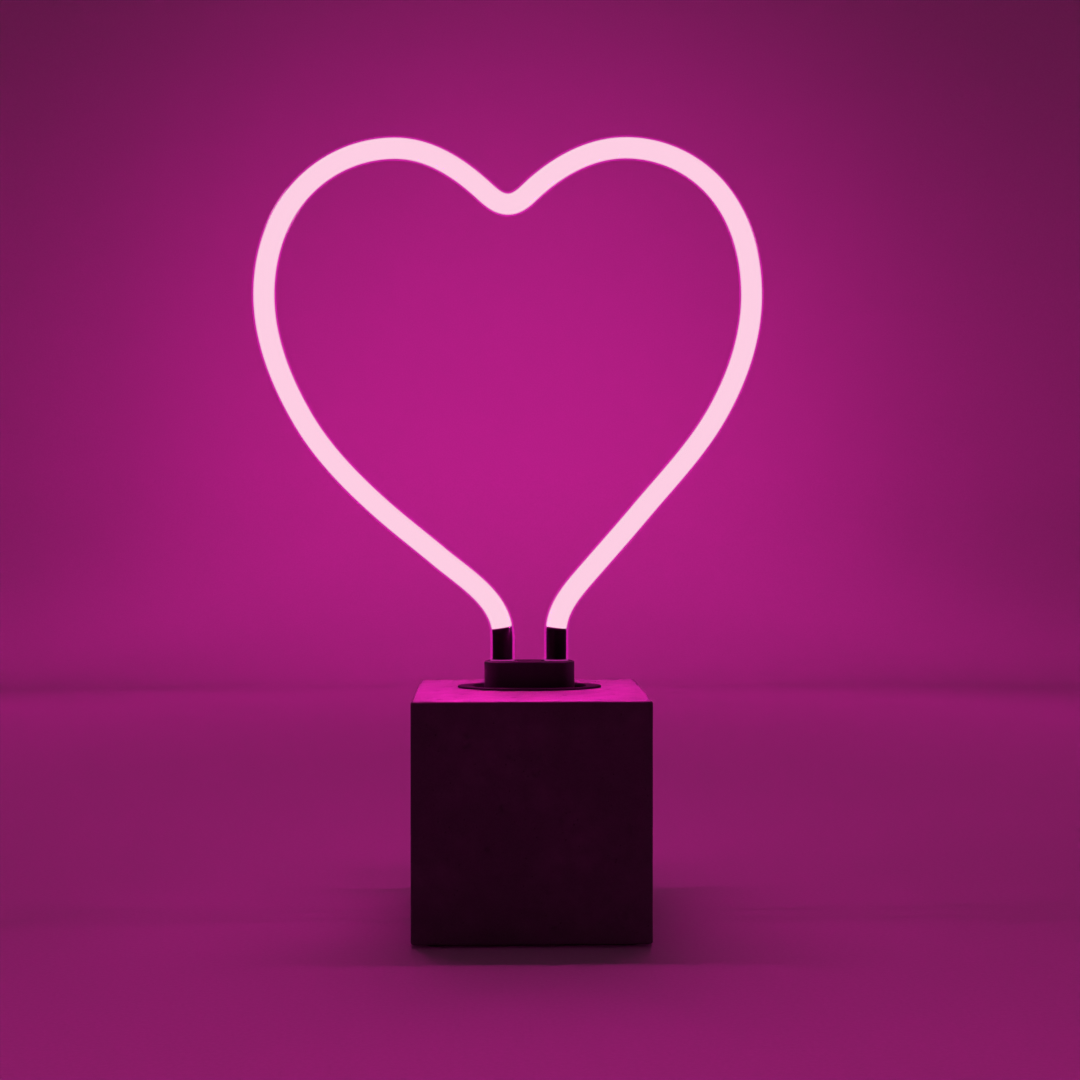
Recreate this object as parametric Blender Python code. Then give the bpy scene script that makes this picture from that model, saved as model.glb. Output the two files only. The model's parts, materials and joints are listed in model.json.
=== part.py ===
"""Heart-shaped neon table lamp on a cast concrete cube.

A bent glass neon tube stands in a plug that lifts out of a socket in the top of
the cube.  The cube holds the high-voltage inverter, the low-voltage inlet and the
rocker switch, and a screwed cover with a soft pad closes it below.

Metres, +Z up, front towards -Y.  The origin is the centre of the pad's underside.
"""
import bpy
import bmesh
from math import ceil, cos, pi, radians, sin, tan
from mathutils import Matrix, Vector
from mathutils.geometry import interpolate_bezier

# Clearances
GAP = 0.0003
THROUGH = 0.001          # how far a cutter runs past the face it opens

# Base pad and concrete cube
PAD = 0.078
PAD_HEIGHT = 0.0008
PAD_CORNER = 0.005
CUBE = 0.085
CUBE_HEIGHT = 0.0854
CUBE_EDGE = 0.0009
CAVITY_HALF = 0.034
CAVITY_CORNER_SUM = 0.054    # |x| + |y| on the cavity's cut-off corners
ROOF = 0.012
COVER = 0.072
COVER_HEIGHT = 0.002
BLOCK_BOTTOM = PAD_HEIGHT + GAP
BLOCK_TOP = BLOCK_BOTTOM + CUBE_HEIGHT
COVER_TOP = BLOCK_BOTTOM + COVER_HEIGHT
CAVITY_BOTTOM = COVER_TOP + GAP
CAVITY_TOP = BLOCK_TOP - ROOF
BACK = CUBE / 2

# Cover screws and their inserts
SCREW_SPACING = 0.031        # centre line to screw, along X and along Y
SCREW_ACCESS = 0.0042
INSERT_RADIUS = 0.0028
INSERT_LENGTH = 0.008

# Socket and plug, measured from the cube's top face
SOCKET_Y = 0.010             # the socket sits behind the middle of the top face
FLANGE = (0.0546, 0.030)
FLANGE_TOP = 0.0007
SOCKET_BODY = (0.046, 0.023)
SOCKET_DEPTH = 0.016
WELL = (0.043, 0.020)
WELL_DEPTH = 0.003
CONTACT_RADIUS = 0.0022
PIN_RADIUS = 0.0011
PIN_DEPTH = 0.0125
PLUG = (0.0342, 0.014)
PLUG_TOP = 0.010
PLUG_BOTTOM = GAP - WELL_DEPTH
PLUG_EDGE = 0.0009
PLUG_BASE = (0.030, 0.010)
PLUG_BASE_HEIGHT = 0.003
GROMMET_RADIUS = 0.0057
GROMMET_BOTTOM = 0.0088
GROMMET_TOP = 0.0103

# Neon tube
LEG_X = 0.0102
TUBE_FOOT = 0.0008
TUBE_RADIUS = 0.0045
TUBE_BORE = 0.0041
LINING_RADIUS = 0.0038
LINING_BORE = 0.0034
ELECTRODE_RADIUS = 0.00375
ELECTRODE_BORE = 0.0031
ELECTRODE_START = 0.0057     # along the tube from its foot
ELECTRODE_END = 0.0224
LINING_START = ELECTRODE_END + GAP
# Knots of the heart's centre line: x and height above the cube in millimetres, and
# the heading in degrees.  The outline leans and its two sides differ, as bent by hand.
HEART_KNOTS = (
    (-10.2, 19.6, 90), (-34.3, 49.6, 140), (-56.8, 68.3, 138), (-85.8, 101.9, 120),
    (-100.2, 148.5, 90), (-94.0, 176.3, 64), (-50.6, 203.8, 0), (-18.1, 188.7, -42),
    (-8.1, 182.9, 0), (2.8, 189.9, 41), (36.7, 204.4, 0), (70.6, 189.4, -48),
    (84.4, 148.7, -90), (71.8, 104.6, -119), (42.2, 66.5, -130), (21.3, 42.4, -131),
    (10.2, 21.2, -90),
)
MILLIMETRE = 0.001
STEP_ANGLE = radians(12)
STEP_LENGTH = 0.018

# Inverter, standing on the base cover
CASE = (0.050, 0.036)
CASE_Y = -0.009
CASE_HEIGHT = 0.022
CASE_WALL = 0.0016
CASE_LEDGE = 0.003
LID_HEIGHT = 0.0016
BOARD = (0.045, 0.031)
BOARD_HEIGHT = 0.0016
CASE_BOTTOM = COVER_TOP + GAP
CASE_TOP = CASE_BOTTOM + CASE_HEIGHT
LID_BOTTOM = CASE_TOP + GAP
BOARD_BOTTOM = CASE_BOTTOM + CASE_WALL + CASE_LEDGE + GAP
BOARD_TOP = BOARD_BOTTOM + BOARD_HEIGHT
PART_BOTTOM = BOARD_TOP + GAP
HV_HOLE = (0.018, -0.020)
DC_HOLE_X = 0.019
DC_HOLE_Z = 0.016
HV_WIRE_RADIUS = 0.0013
DC_WIRE_RADIUS = 0.0009

# Inlet and switch in the back wall
INLET = (-0.013, BACK, 0.022)
SWITCH = (0.013, BACK, 0.022)
WALL = BACK - CAVITY_HALF
INLET_THREAD = 0.0039
INLET_FLANGE = 0.006
SWITCH_BEZEL = (0.0156, 0.0216)
SWITCH_BODY = (0.0128, 0.0188)
SWITCH_POCKET = (0.0094, 0.0154)
SWITCH_DEPTH = 0.015
ROCKER_WIDTH = 0.0088
ROCKER_TILT = radians(8)
PIVOT_DEPTH = 0.0035
PIVOT_RADIUS = 0.0008
TERMINAL_OFFSET = 0.005


def clear_scene():
    for old in list(bpy.data.objects):
        bpy.data.objects.remove(old, do_unlink=True)


def make_material(name, colour, roughness, metallic=0.0, emission=0.0):
    material = bpy.data.materials.new(name)
    material.use_nodes = True
    shader = material.node_tree.nodes["Principled BSDF"]
    shader.inputs["Base Color"].default_value = (*colour, 1.0)
    shader.inputs["Roughness"].default_value = roughness
    shader.inputs["Metallic"].default_value = metallic
    shader.inputs["Emission Color"].default_value = (*colour, 1.0)
    shader.inputs["Emission Strength"].default_value = emission
    material.diffuse_color = (*colour, 1.0)
    return material


# Outlines: closed lists of (x, y), anticlockwise

def circle(radius, count=16):
    return [(radius * cos(2 * pi * i / count), radius * sin(2 * pi * i / count)) for i in range(count)]


def oval(size, count=32):
    """An ellipse whose points match an obround's, one to one."""
    step = 2 * pi / count
    angles = [(i + 0.5) * step - pi / 2 for i in range(count)]
    return [(size[0] / 2 * cos(a), size[1] / 2 * sin(a)) for a in angles]


def obround(size, count=32):
    """A slot outline: two half circles joined by straight sides."""
    radius = size[1] / 2
    shift = size[0] / 2 - radius
    half = count // 2
    right = [(shift + radius * cos(a), radius * sin(a)) for a in arc_angles(-pi / 2, pi / 2, half)]
    left = [(-shift + radius * cos(a), radius * sin(a)) for a in arc_angles(pi / 2, 3 * pi / 2, half)]
    return right + left


def arc_angles(start, end, count):
    return [start + (end - start) * i / (count - 1) for i in range(count)]


def rectangle(size, corner=0.0, steps=4):
    if corner == 0.0:
        x, y = size[0] / 2, size[1] / 2
        return [(x, -y), (x, y), (-x, y), (-x, -y)]
    points = []
    for quarter in range(4):
        centre_x = (size[0] / 2 - corner) * (1 if quarter in (0, 3) else -1)
        centre_y = (size[1] / 2 - corner) * (1 if quarter in (0, 1) else -1)
        for angle in arc_angles(quarter * pi / 2, (quarter + 1) * pi / 2, steps + 1):
            points.append((centre_x + corner * cos(angle), centre_y + corner * sin(angle)))
    return points


def cut_cornered_square(half, corner_sum):
    side = corner_sum - half
    return [(half, -side), (half, side), (side, half), (-side, half),
            (-half, side), (-half, -side), (-side, -half), (side, -half)]


def hexagon(across_flats, count=12):
    """A hexagon with extra points on its sides, so that it matches a round bore."""
    points = []
    for i in range(count):
        angle = 2 * pi * i / count
        to_flat = (angle + pi / 6) % (pi / 3) - pi / 6
        radius = across_flats / 2 / cos(to_flat)
        points.append((radius * cos(angle), radius * sin(angle)))
    return points


def level(outline, z):
    return [Vector((x, y, z)) for x, y in outline]


# Solids

def skin(rings, closed=False):
    """A mesh through rings of equal length: capped at both ends, or joined end to start."""
    mesh = bmesh.new()
    loops = [[mesh.verts.new(point) for point in ring] for ring in rings]
    count = len(loops[0])
    pairs = list(zip(loops, loops[1:]))
    if closed:
        pairs.append((loops[-1], loops[0]))
    else:
        mesh.faces.new(loops[0])
        mesh.faces.new(loops[-1])
    for lower, upper in pairs:
        for i in range(count):
            j = (i + 1) % count
            mesh.faces.new((lower[i], lower[j], upper[j], upper[i]))
    bmesh.ops.recalc_face_normals(mesh, faces=mesh.faces)
    return mesh


def turned(profile, closed=False, count=16):
    """A solid of revolution about Z, from a profile of (radius, z)."""
    return skin([level(circle(radius, count), z) for radius, z in profile], closed)


def prism(outline, bottom, top):
    return skin([level(outline, bottom), level(outline, top)])


def extruded_x(outline, width):
    """A prism along X whose outline is in (y, z)."""
    half = width / 2
    return skin([[Vector((x, y, z)) for y, z in outline] for x in (-half, half)])


def add(name, mesh, material, parent=None, at=(0, 0, 0), turn=(0, 0, 0), smooth=True):
    """A mesh object for one piece, placed by its location and rotation."""
    data = bpy.data.meshes.new(name)
    mesh.to_mesh(data)
    mesh.free()
    if smooth:
        data.shade_smooth()
        data.set_sharp_from_angle(angle=radians(35))
    data.materials.append(material)
    piece = bpy.data.objects.new(name, data)
    piece.location = at
    piece.rotation_euler = turn
    bpy.context.scene.collection.objects.link(piece)
    piece.parent = parent
    return piece


def cut(piece, name, mesh, at=(0, 0, 0), turn=(0, 0, 0)):
    """Subtracts a hidden cutter from a piece."""
    cutter = add("cutter_" + name, mesh, piece.data.materials[0], at=at, turn=turn, smooth=False)
    cutter.hide_render = True
    cutter.display_type = "WIRE"
    modifier = piece.modifiers.new(name, "BOOLEAN")
    modifier.operation = "DIFFERENCE"
    modifier.solver = "EXACT"
    modifier.object = cutter


def add_body(name, at=(0, 0, 0)):
    empty = bpy.data.objects.new(name, None)
    empty.location = at
    empty.empty_display_size = 0.02
    bpy.context.scene.collection.objects.link(empty)
    return empty


def smooth_route(points, steps=3):
    """Points along a Catmull-Rom curve through a route's own points."""
    route = [Vector(point) for point in points]
    ends = [2 * route[0] - route[1], *route, 2 * route[-1] - route[-2]]
    curve = []
    for before, start, end, after in zip(ends, ends[1:], ends[2:], ends[3:]):
        for i in range(steps):
            t = i / steps
            curve.append(0.5 * (2 * start + (end - before) * t
                                + (2 * before - 5 * start + 4 * end - after) * t ** 2
                                + (3 * start - before - 3 * end + after) * t ** 3))
    return curve + [route[-1]]


def add_wire(name, points, radius, material, parent):
    curve = bpy.data.curves.new(name, "CURVE")
    curve.dimensions = "3D"
    curve.bevel_depth = radius
    curve.bevel_resolution = 2
    curve.use_fill_caps = True
    route = smooth_route(points)
    spline = curve.splines.new("POLY")
    spline.points.add(len(route) - 1)
    for point, place in zip(spline.points, route):
        point.co = (*place, 1.0)
    curve.materials.append(material)
    wire = bpy.data.objects.new(name, curve)
    bpy.context.scene.collection.objects.link(wire)
    wire.parent = parent


# The heart's centre line

def handle_length(chord, turn):
    """The Bezier handle that makes a curve close to a circular arc."""
    if abs(turn) < radians(0.1):
        return chord / 3
    return chord * 2 / 3 * tan(abs(turn) / 4) / sin(abs(turn) / 2)


def heart_segment(start, end):
    """Points from one knot up to, but not including, the next."""
    first = Vector(start[:2]) * MILLIMETRE
    last = Vector(end[:2]) * MILLIMETRE
    heading = radians(start[2])
    next_heading = radians(end[2])
    chord = (last - first).length
    turn = next_heading - heading
    handle = handle_length(chord, turn)
    out = first + handle * Vector((cos(heading), sin(heading)))
    back = last - handle * Vector((cos(next_heading), sin(next_heading)))
    steps = max(1, ceil(abs(turn) / STEP_ANGLE), ceil(chord / STEP_LENGTH))
    return list(interpolate_bezier(first, out, back, last, steps + 1))[:-1]


def heart_line(leg_start):
    """The tube's centre line in (x, z), from the left leg to the right leg."""
    line = [Vector((-LEG_X, leg_start))]
    for start, end in zip(HEART_KNOTS, HEART_KNOTS[1:]):
        line += heart_segment(start, end)
    last = HEART_KNOTS[-1]
    line.append(Vector(last[:2]) * MILLIMETRE)
    line.append(Vector((LEG_X, leg_start)))
    return line


def point_along(line, distance):
    """The point at a distance along a line, and the part of the line beyond it."""
    for i, (start, end) in enumerate(zip(line, line[1:])):
        span = (end - start).length
        if distance < span:
            point = start.lerp(end, distance / span)
            return point, [point] + line[i + 1:]
        distance -= span
    return line[-1], [line[-1]]


def trimmed(line, distance):
    """A line without a stretch at each of its ends."""
    rest = point_along(line, distance)[1]
    return point_along(rest[::-1], distance)[1][::-1]


def tube_rings(line, radii, sides):
    """Rings square to a line in the tube's plane, each with its own radius."""
    rings = []
    for i, (point, radius) in enumerate(zip(line, radii)):
        before = line[max(i - 1, 0)]
        after = line[min(i + 1, len(line) - 1)]
        along = (after - before).normalized()
        across = Vector((along.y, 0, -along.x))
        centre = Vector((point.x, SOCKET_Y, BLOCK_TOP + point.y))
        rings.append([centre + radius * (cos(a) * across + sin(a) * Vector((0, 1, 0)))
                      for a in (2 * pi * k / sides for k in range(sides))])
    return rings


def hollow_tube(line, radius, bore, sides):
    inside = tube_rings(line, [bore] * len(line), sides)
    return skin(tube_rings(line, [radius] * len(line), sides) + inside[::-1], closed=True)


def electrode_shell(line):
    """A thin cup with a domed end, following the foot of the tube."""
    end = ELECTRODE_END
    outside = ((ELECTRODE_START, ELECTRODE_RADIUS), (0.0120, ELECTRODE_RADIUS),
               (0.0170, ELECTRODE_RADIUS), (end - 0.0020, ELECTRODE_RADIUS),
               (end - 0.0008, 0.0034), (end - 0.0002, 0.0022), (end, 0.0006))
    inside = ((ELECTRODE_START, ELECTRODE_BORE), (0.0120, ELECTRODE_BORE), (0.0170, ELECTRODE_BORE),
              (end - 0.0026, 0.0030), (end - 0.0008, 0.0006))
    rings = []
    for profile in (outside, inside):
        points = [point_along(line, distance)[0] for distance, radius in profile]
        rings.append(tube_rings(points, [radius for distance, radius in profile], 12))
    return skin(rings[0] + rings[1][::-1], closed=True)


# Sub-parts

def make_tube(m, head):
    """The glass, its glowing lining, and the electrodes sealed into its two ends."""
    line = heart_line(TUBE_FOOT)
    add("neon_tube", hollow_tube(line, TUBE_RADIUS, TUBE_BORE, 10), m["glass"], head)
    lining = hollow_tube(trimmed(line, LINING_START), LINING_RADIUS, LINING_BORE, 6)
    add("phosphor_lining", lining, m["glow"], head)
    add("electrode_shell_left", electrode_shell(line), m["electrode"], head)
    add("electrode_shell_right", electrode_shell(line[::-1]), m["electrode"], head)
    seal = [(0.0036, 0.0014), (0.0037, 0.0022), (0.0037, 0.0050), (0.0025, 0.0060),
            (0.0008, 0.0060), (0.0008, 0.0014)]
    lead = [(0.0005, 0.0011), (0.0005, 0.0120)]
    grommet = [(0.0047, GROMMET_BOTTOM), (GROMMET_RADIUS, GROMMET_BOTTOM), (GROMMET_RADIUS, 0.0100),
               (0.0054, GROMMET_TOP), (0.0049, GROMMET_TOP), (0.0047, 0.0101)]
    for side, x in (("left", -LEG_X), ("right", LEG_X)):
        leg = (x, SOCKET_Y, BLOCK_TOP)
        add("electrode_seal_" + side, turned(seal, closed=True), m["seal"], head, leg)
        add("lead_wire_" + side, turned(lead, count=8), m["copper"], head, leg)
        add("tube_grommet_" + side, turned(grommet, closed=True), m["rubber"], head, leg)


def make_plug(m, head):
    """The moulded plug that carries the tube, its floor, pins and screws."""
    inner = (PLUG[0] - 2 * PLUG_EDGE, PLUG[1] - 2 * PLUG_EDGE)
    shoulder = PLUG_EDGE * (1 - cos(pi / 4))
    middle = (PLUG[0] - 2 * shoulder, PLUG[1] - 2 * shoulder)
    block = add("plug_block", skin([
        level(obround(PLUG), PLUG_BOTTOM),
        level(obround(PLUG), PLUG_TOP - PLUG_EDGE),
        level(obround(middle), PLUG_TOP - shoulder),
        level(obround(inner), PLUG_TOP),
    ]), m["plastic"], head, (0, SOCKET_Y, BLOCK_TOP))
    base_top = PLUG_BOTTOM + PLUG_BASE_HEIGHT
    recess = (PLUG_BASE[0] + 2 * GAP, PLUG_BASE[1] + 2 * GAP)
    centre = (0, SOCKET_Y, BLOCK_TOP)
    cut(block, "plug_recess", prism(obround(recess), PLUG_BOTTOM - THROUGH, base_top + GAP), centre)
    for side, x in (("left", -LEG_X), ("right", LEG_X)):
        leg = (x, SOCKET_Y, BLOCK_TOP)
        bore = [(TUBE_RADIUS + GAP, base_top), (TUBE_RADIUS + GAP, GROMMET_BOTTOM - GAP),
                (GROMMET_RADIUS + GAP, GROMMET_BOTTOM - GAP), (GROMMET_RADIUS + GAP, PLUG_TOP + THROUGH)]
        cut(block, "plug_bore_" + side, turned(bore), leg)
    floor = add("plug_base", prism(obround(PLUG_BASE), PLUG_BOTTOM, base_top), m["plastic"], head, centre)
    pin = [(PIN_RADIUS * 0.6, -PIN_DEPTH), (PIN_RADIUS, -PIN_DEPTH + 0.001), (PIN_RADIUS, base_top + 0.0002),
           (0.0018, base_top + 0.0002), (0.0018, base_top + 0.0005)]
    for side, x in (("left", -LEG_X), ("right", LEG_X)):
        leg = (x, SOCKET_Y, BLOCK_TOP)
        pin_hole = prism(circle(PIN_RADIUS + GAP), PLUG_BOTTOM - THROUGH, base_top + THROUGH)
        cut(floor, "pin_hole_" + side, pin_hole, leg)
        add("contact_pin_" + side, turned(pin), m["brass"], head, leg)
    head_bottom = PLUG_BOTTOM + GAP
    screw = [(0.0009, head_bottom + 0.0004), (0.0012, head_bottom), (0.0019, head_bottom),
             (0.0019, head_bottom + 0.0009), (0.0010, head_bottom + 0.0009), (0.0010, 0.0070)]
    hole = [(0.0022, PLUG_BOTTOM - THROUGH), (0.0022, head_bottom + 0.0009 + GAP),
            (0.0013, head_bottom + 0.0009 + GAP), (0.0013, 0.0075)]
    for side, y in (("front", -0.0025), ("rear", 0.0025)):
        place = (0, SOCKET_Y + y, BLOCK_TOP)
        cut(block, "screw_pilot_" + side, turned([(0.0013, base_top), (0.0013, 0.0075)], count=12), place)
        cut(floor, "screw_hole_" + side, turned(hole, count=12), place)
        add("plug_screw_" + side, turned(screw, count=12), m["steel"], head, place)


def make_socket(m, base):
    """The oval socket in the cube's top, its push-on retainer and its two contacts."""
    centre = (0, SOCKET_Y, BLOCK_TOP)
    lip = (FLANGE[0] - 0.0006, FLANGE[1] - 0.0006)
    socket = add("socket", skin([
        level(obround(SOCKET_BODY), -SOCKET_DEPTH),
        level(obround(SOCKET_BODY), 0.0001),
        level(oval(FLANGE), 0.0001),
        level(oval(FLANGE), FLANGE_TOP - 0.0003),
        level(oval(lip), FLANGE_TOP),
        level(obround(WELL), FLANGE_TOP),
        level(obround(WELL), -WELL_DEPTH),
    ]), m["plastic"], base, centre)
    contact = [(0.0010, -0.0190), (0.0010, -0.0150), (CONTACT_RADIUS, -0.0150),
               (CONTACT_RADIUS, -WELL_DEPTH - GAP), (PIN_RADIUS + GAP, -WELL_DEPTH - GAP),
               (PIN_RADIUS + GAP, -PIN_DEPTH - 0.0005)]
    for side, x in (("left", -LEG_X), ("right", LEG_X)):
        hole = prism(circle(CONTACT_RADIUS + GAP), -SOCKET_DEPTH - THROUGH, THROUGH - WELL_DEPTH)
        cut(socket, "contact_hole_" + side, hole, (x, SOCKET_Y, BLOCK_TOP))
        add("socket_contact_" + side, turned(contact), m["brass"], base, (x, SOCKET_Y, BLOCK_TOP))
    outer = obround((SOCKET_BODY[0] + 0.010, SOCKET_BODY[1] + 0.010))
    inner = obround((SOCKET_BODY[0] + 2 * GAP, SOCKET_BODY[1] + 2 * GAP))
    top = -ROOF - GAP
    bottom = top - 0.0015
    rings = [level(outer, bottom), level(outer, top), level(inner, top), level(inner, bottom)]
    add("socket_retainer", skin(rings, closed=True), m["steel"], base, centre)


def make_concrete(m, base):
    """The cast cube, open below for the works and above for the socket."""
    mesh = prism(rectangle((CUBE, CUBE)), BLOCK_BOTTOM, BLOCK_TOP)
    cube = add("concrete_block", mesh, m["concrete"], base)
    bevel = cube.modifiers.new("edge", "BEVEL")
    bevel.width = CUBE_EDGE
    bevel.segments = 2
    rebate = COVER + 2 * GAP
    below = BLOCK_BOTTOM - THROUGH
    cut(cube, "cover_rebate", prism(rectangle((rebate, rebate), 0.002, 2), below, CAVITY_BOTTOM))
    cavity = cut_cornered_square(CAVITY_HALF, CAVITY_CORNER_SUM)
    cut(cube, "cavity", prism(cavity, BLOCK_BOTTOM, CAVITY_TOP))
    hole = obround((SOCKET_BODY[0] + 2 * GAP, SOCKET_BODY[1] + 2 * GAP))
    cut(cube, "socket_hole", prism(hole, CAVITY_TOP - THROUGH, BLOCK_TOP + THROUGH), (0, SOCKET_Y, 0))
    backwards = (-pi / 2, 0, 0)
    inlet_hole = [(INLET_THREAD + GAP, -WALL - THROUGH), (INLET_THREAD + GAP, -0.0022),
                  (INLET_FLANGE + 0.0005, -0.0022), (INLET_FLANGE + 0.0005, THROUGH)]
    cut(cube, "inlet_hole", turned(inlet_hole), INLET, backwards)
    opening = rectangle((SWITCH_BODY[0] + 2 * GAP, SWITCH_BODY[1] + 2 * GAP))
    cut(cube, "switch_opening", prism(opening, -WALL - THROUGH, THROUGH), SWITCH, backwards)
    seat = rectangle((SWITCH_BEZEL[0] + 2 * GAP, SWITCH_BEZEL[1] + 2 * GAP), 0.0015, 3)
    cut(cube, "switch_seat", prism(seat, -0.0018, THROUGH), SWITCH, backwards)
    for name, x, y in corners():
        bore = prism(circle(INSERT_RADIUS + GAP), BLOCK_BOTTOM, CAVITY_BOTTOM + INSERT_LENGTH + 2 * GAP)
        cut(cube, "insert_bore_" + name, bore, (x, y, 0))


def corners():
    """The four cover screws' names and places."""
    spots = (("front_left", -1, -1), ("front_right", 1, -1), ("rear_left", -1, 1), ("rear_right", 1, 1))
    return [(name, x * SCREW_SPACING, y * SCREW_SPACING) for name, x, y in spots]


def make_base_cover(m, base):
    """The cover, its screws and brass inserts, and the soft pad that the lamp stands on."""
    cover = add("base_cover", prism(rectangle((COVER, COVER), 0.0018, 2), BLOCK_BOTTOM, COVER_TOP),
                m["plastic"], base)
    pad = add("base_pad", prism(rectangle((PAD, PAD), PAD_CORNER), 0, PAD_HEIGHT), m["pad"], base)
    head_bottom = BLOCK_BOTTOM + 0.0001
    head_top = head_bottom + 0.0009
    screw = [(0.0008, head_bottom + 0.0005), (0.0013, head_bottom), (0.0026, head_bottom),
             (0.0026, head_top), (0.0011, head_top), (0.0011, BLOCK_BOTTOM + 0.010)]
    seat = [(0.0030, BLOCK_BOTTOM - THROUGH), (0.0030, head_top + 0.0001),
            (0.0014, head_top + 0.0001), (0.0014, COVER_TOP + THROUGH)]
    insert_bottom = CAVITY_BOTTOM + GAP
    insert_top = insert_bottom + INSERT_LENGTH
    insert = [(0.0014, insert_bottom), (INSERT_RADIUS, insert_bottom), (INSERT_RADIUS, insert_top),
              (0.0014, insert_top)]
    for name, x, y in corners():
        place = (x, y, 0)
        cut(cover, "screw_seat_" + name, turned(seat), place)
        cut(pad, "screw_access_" + name, prism(circle(SCREW_ACCESS), -THROUGH, PAD_HEIGHT + THROUGH), place)
        add("cover_screw_" + name, turned(screw, count=12), m["steel"], base, place)
        add("screw_insert_" + name, turned(insert, closed=True), m["brass"], base, place)


def make_inverter(m, base):
    """The high-voltage inverter: a potted-style case with its board and parts."""
    centre = (0, CASE_Y, 0)
    outline = rectangle(CASE, 0.002, 2)
    case = add("inverter_case", prism(outline, CASE_BOTTOM, CASE_TOP), m["plastic"], base, centre)
    room = (CASE[0] - 2 * CASE_WALL, CASE[1] - 2 * CASE_WALL)
    low_room = (room[0] - 0.004, room[1] - 0.004)
    ledge = CASE_BOTTOM + CASE_WALL + CASE_LEDGE
    cut(case, "case_room", prism(rectangle(room), ledge, CASE_TOP + THROUGH), centre)
    cut(case, "case_floor", prism(rectangle(low_room), CASE_BOTTOM + CASE_WALL, ledge + THROUGH), centre)
    lid_top = LID_BOTTOM + LID_HEIGHT
    lid = add("inverter_lid", prism(outline, LID_BOTTOM, lid_top), m["plastic"], base, centre)
    for side, sign in (("left", -1), ("right", 1)):
        hv_hole = prism(circle(HV_WIRE_RADIUS + GAP, 12), LID_BOTTOM - THROUGH, lid_top + THROUGH)
        cut(lid, "hv_hole_" + side, hv_hole, (sign * HV_HOLE[0], HV_HOLE[1], 0))
        dc_hole = prism(circle(DC_WIRE_RADIUS + GAP, 12), -CASE_WALL - THROUGH, THROUGH)
        wall = (sign * DC_HOLE_X, CASE_Y + CASE[1] / 2, DC_HOLE_Z)
        cut(case, "dc_hole_" + side, dc_hole, wall, (-pi / 2, 0, 0))
    add("circuit_board", prism(rectangle(BOARD), BOARD_BOTTOM, BOARD_TOP), m["board"], base, centre)

    core_outside = rectangle((0.026, 0.012))
    core_window = rectangle((0.016, 0.005))
    core = [level(core_outside, -0.0035), level(core_outside, 0.0035),
            level(core_window, 0.0035), level(core_window, -0.0035)]
    middle = PART_BOTTOM + 0.006
    add("transformer_core", skin(core, closed=True), m["ferrite"], base, (0, CASE_Y, middle), (pi / 2, 0, 0))
    winding_outside = rectangle((0.0074, 0.0108), 0.001, 2)
    winding_bore = rectangle((0.0041, 0.0076), 0.001, 2)
    winding = [level(winding_outside, -0.007), level(winding_outside, 0.007),
               level(winding_bore, 0.007), level(winding_bore, -0.007)]
    add("transformer_winding", skin(winding, closed=True), m["copper"], base,
        (0, CASE_Y, middle + 0.00425), (0, pi / 2, 0))
    can = [(0.0036, 0), (0.0040, 0.0004), (0.0040, 0.0104), (0.0036, 0.0108)]
    add("reservoir_capacitor", turned(can), m["can"], base, (-0.0125, 0.001, PART_BOTTOM))
    disc = [(0.0030, -0.0016), (0.0045, -0.0009), (0.0045, 0.0009), (0.0030, 0.0016)]
    add("hv_capacitor", turned(disc), m["ceramic"], base,
        (0.0125, 0.001, PART_BOTTOM + 0.0046), (pi / 2, 0, 0))
    transistor = prism(rectangle((0.0100, 0.0040)), 0, 0.0090)
    add("transistor", transistor, m["plastic"], base, (0, -0.0002, PART_BOTTOM))
    add("heat_sink", prism(fin_outline(), 0, 0.0110), m["aluminium"], base, (0, 0.0040, PART_BOTTOM))


def fin_outline(fins=5, width=0.014, plate=0.0010, depth=0.0022, fin=0.0012):
    """A flat back with fins towards the rear."""
    pitch = (width - fin) / (fins - 1)
    points = [(-width / 2, -plate), (width / 2, -plate)]
    for i in reversed(range(fins)):
        left = -width / 2 + i * pitch
        points += [(left + fin, depth), (left, depth)]
        if i > 0:
            points += [(left, 0), (left - pitch + fin, 0)]
    return points


def make_inlet(m, base):
    """The round low-voltage inlet in the back wall."""
    backwards = (-pi / 2, 0, 0)
    body = [(0.0056, -0.0002), (INLET_FLANGE, -0.0006), (INLET_FLANGE, -0.0019), (INLET_THREAD, -0.0019),
            (INLET_THREAD, -0.0170), (0.00125, -0.0170), (0.00125, -0.0130), (0.0028, -0.0130),
            (0.0028, -0.0006), (0.0032, -0.0002)]
    add("dc_inlet_body", turned(body, closed=True), m["plastic"], base, INLET, backwards)
    pin = [(0.0007, -0.0200), (0.0009, -0.0195), (0.0009, -0.0016), (0.0006, -0.0011)]
    add("dc_inlet_pin", turned(pin, count=12), m["brass"], base, INLET, backwards)
    nut_top = -WALL - GAP
    nut_bottom = nut_top - 0.0025
    inner = circle(INLET_THREAD + GAP, 12)
    nut = [level(hexagon(0.011), nut_bottom), level(hexagon(0.011), nut_top), level(inner, nut_top),
           level(inner, nut_bottom)]
    add("dc_inlet_nut", skin(nut, closed=True), m["steel"], base, INLET, backwards, smooth=False)
    tab = prism(rectangle((0.0024, 0.0006)), -0.0225, -0.0173)
    add("dc_inlet_terminal", tab, m["brass"], base, (INLET[0], INLET[1], INLET[2] - 0.0028), backwards)


def rocker_outline(half=0.0072, rise=0.0019):
    """The rocker's side view in (z, out of the wall), flat on the side that is pressed in."""
    angles = arc_angles(-ROCKER_TILT, ROCKER_TILT, 7)
    face = [(half * sin(a) / sin(ROCKER_TILT), 0.0033 + rise * (1 - cos(a)) / (1 - cos(ROCKER_TILT)))
            for a in angles]
    return face + [(half - 0.0004, -0.0010), (0.0020, -0.0026), (-0.0020, -0.0026), (-half + 0.0004, -0.0010)]


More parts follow.
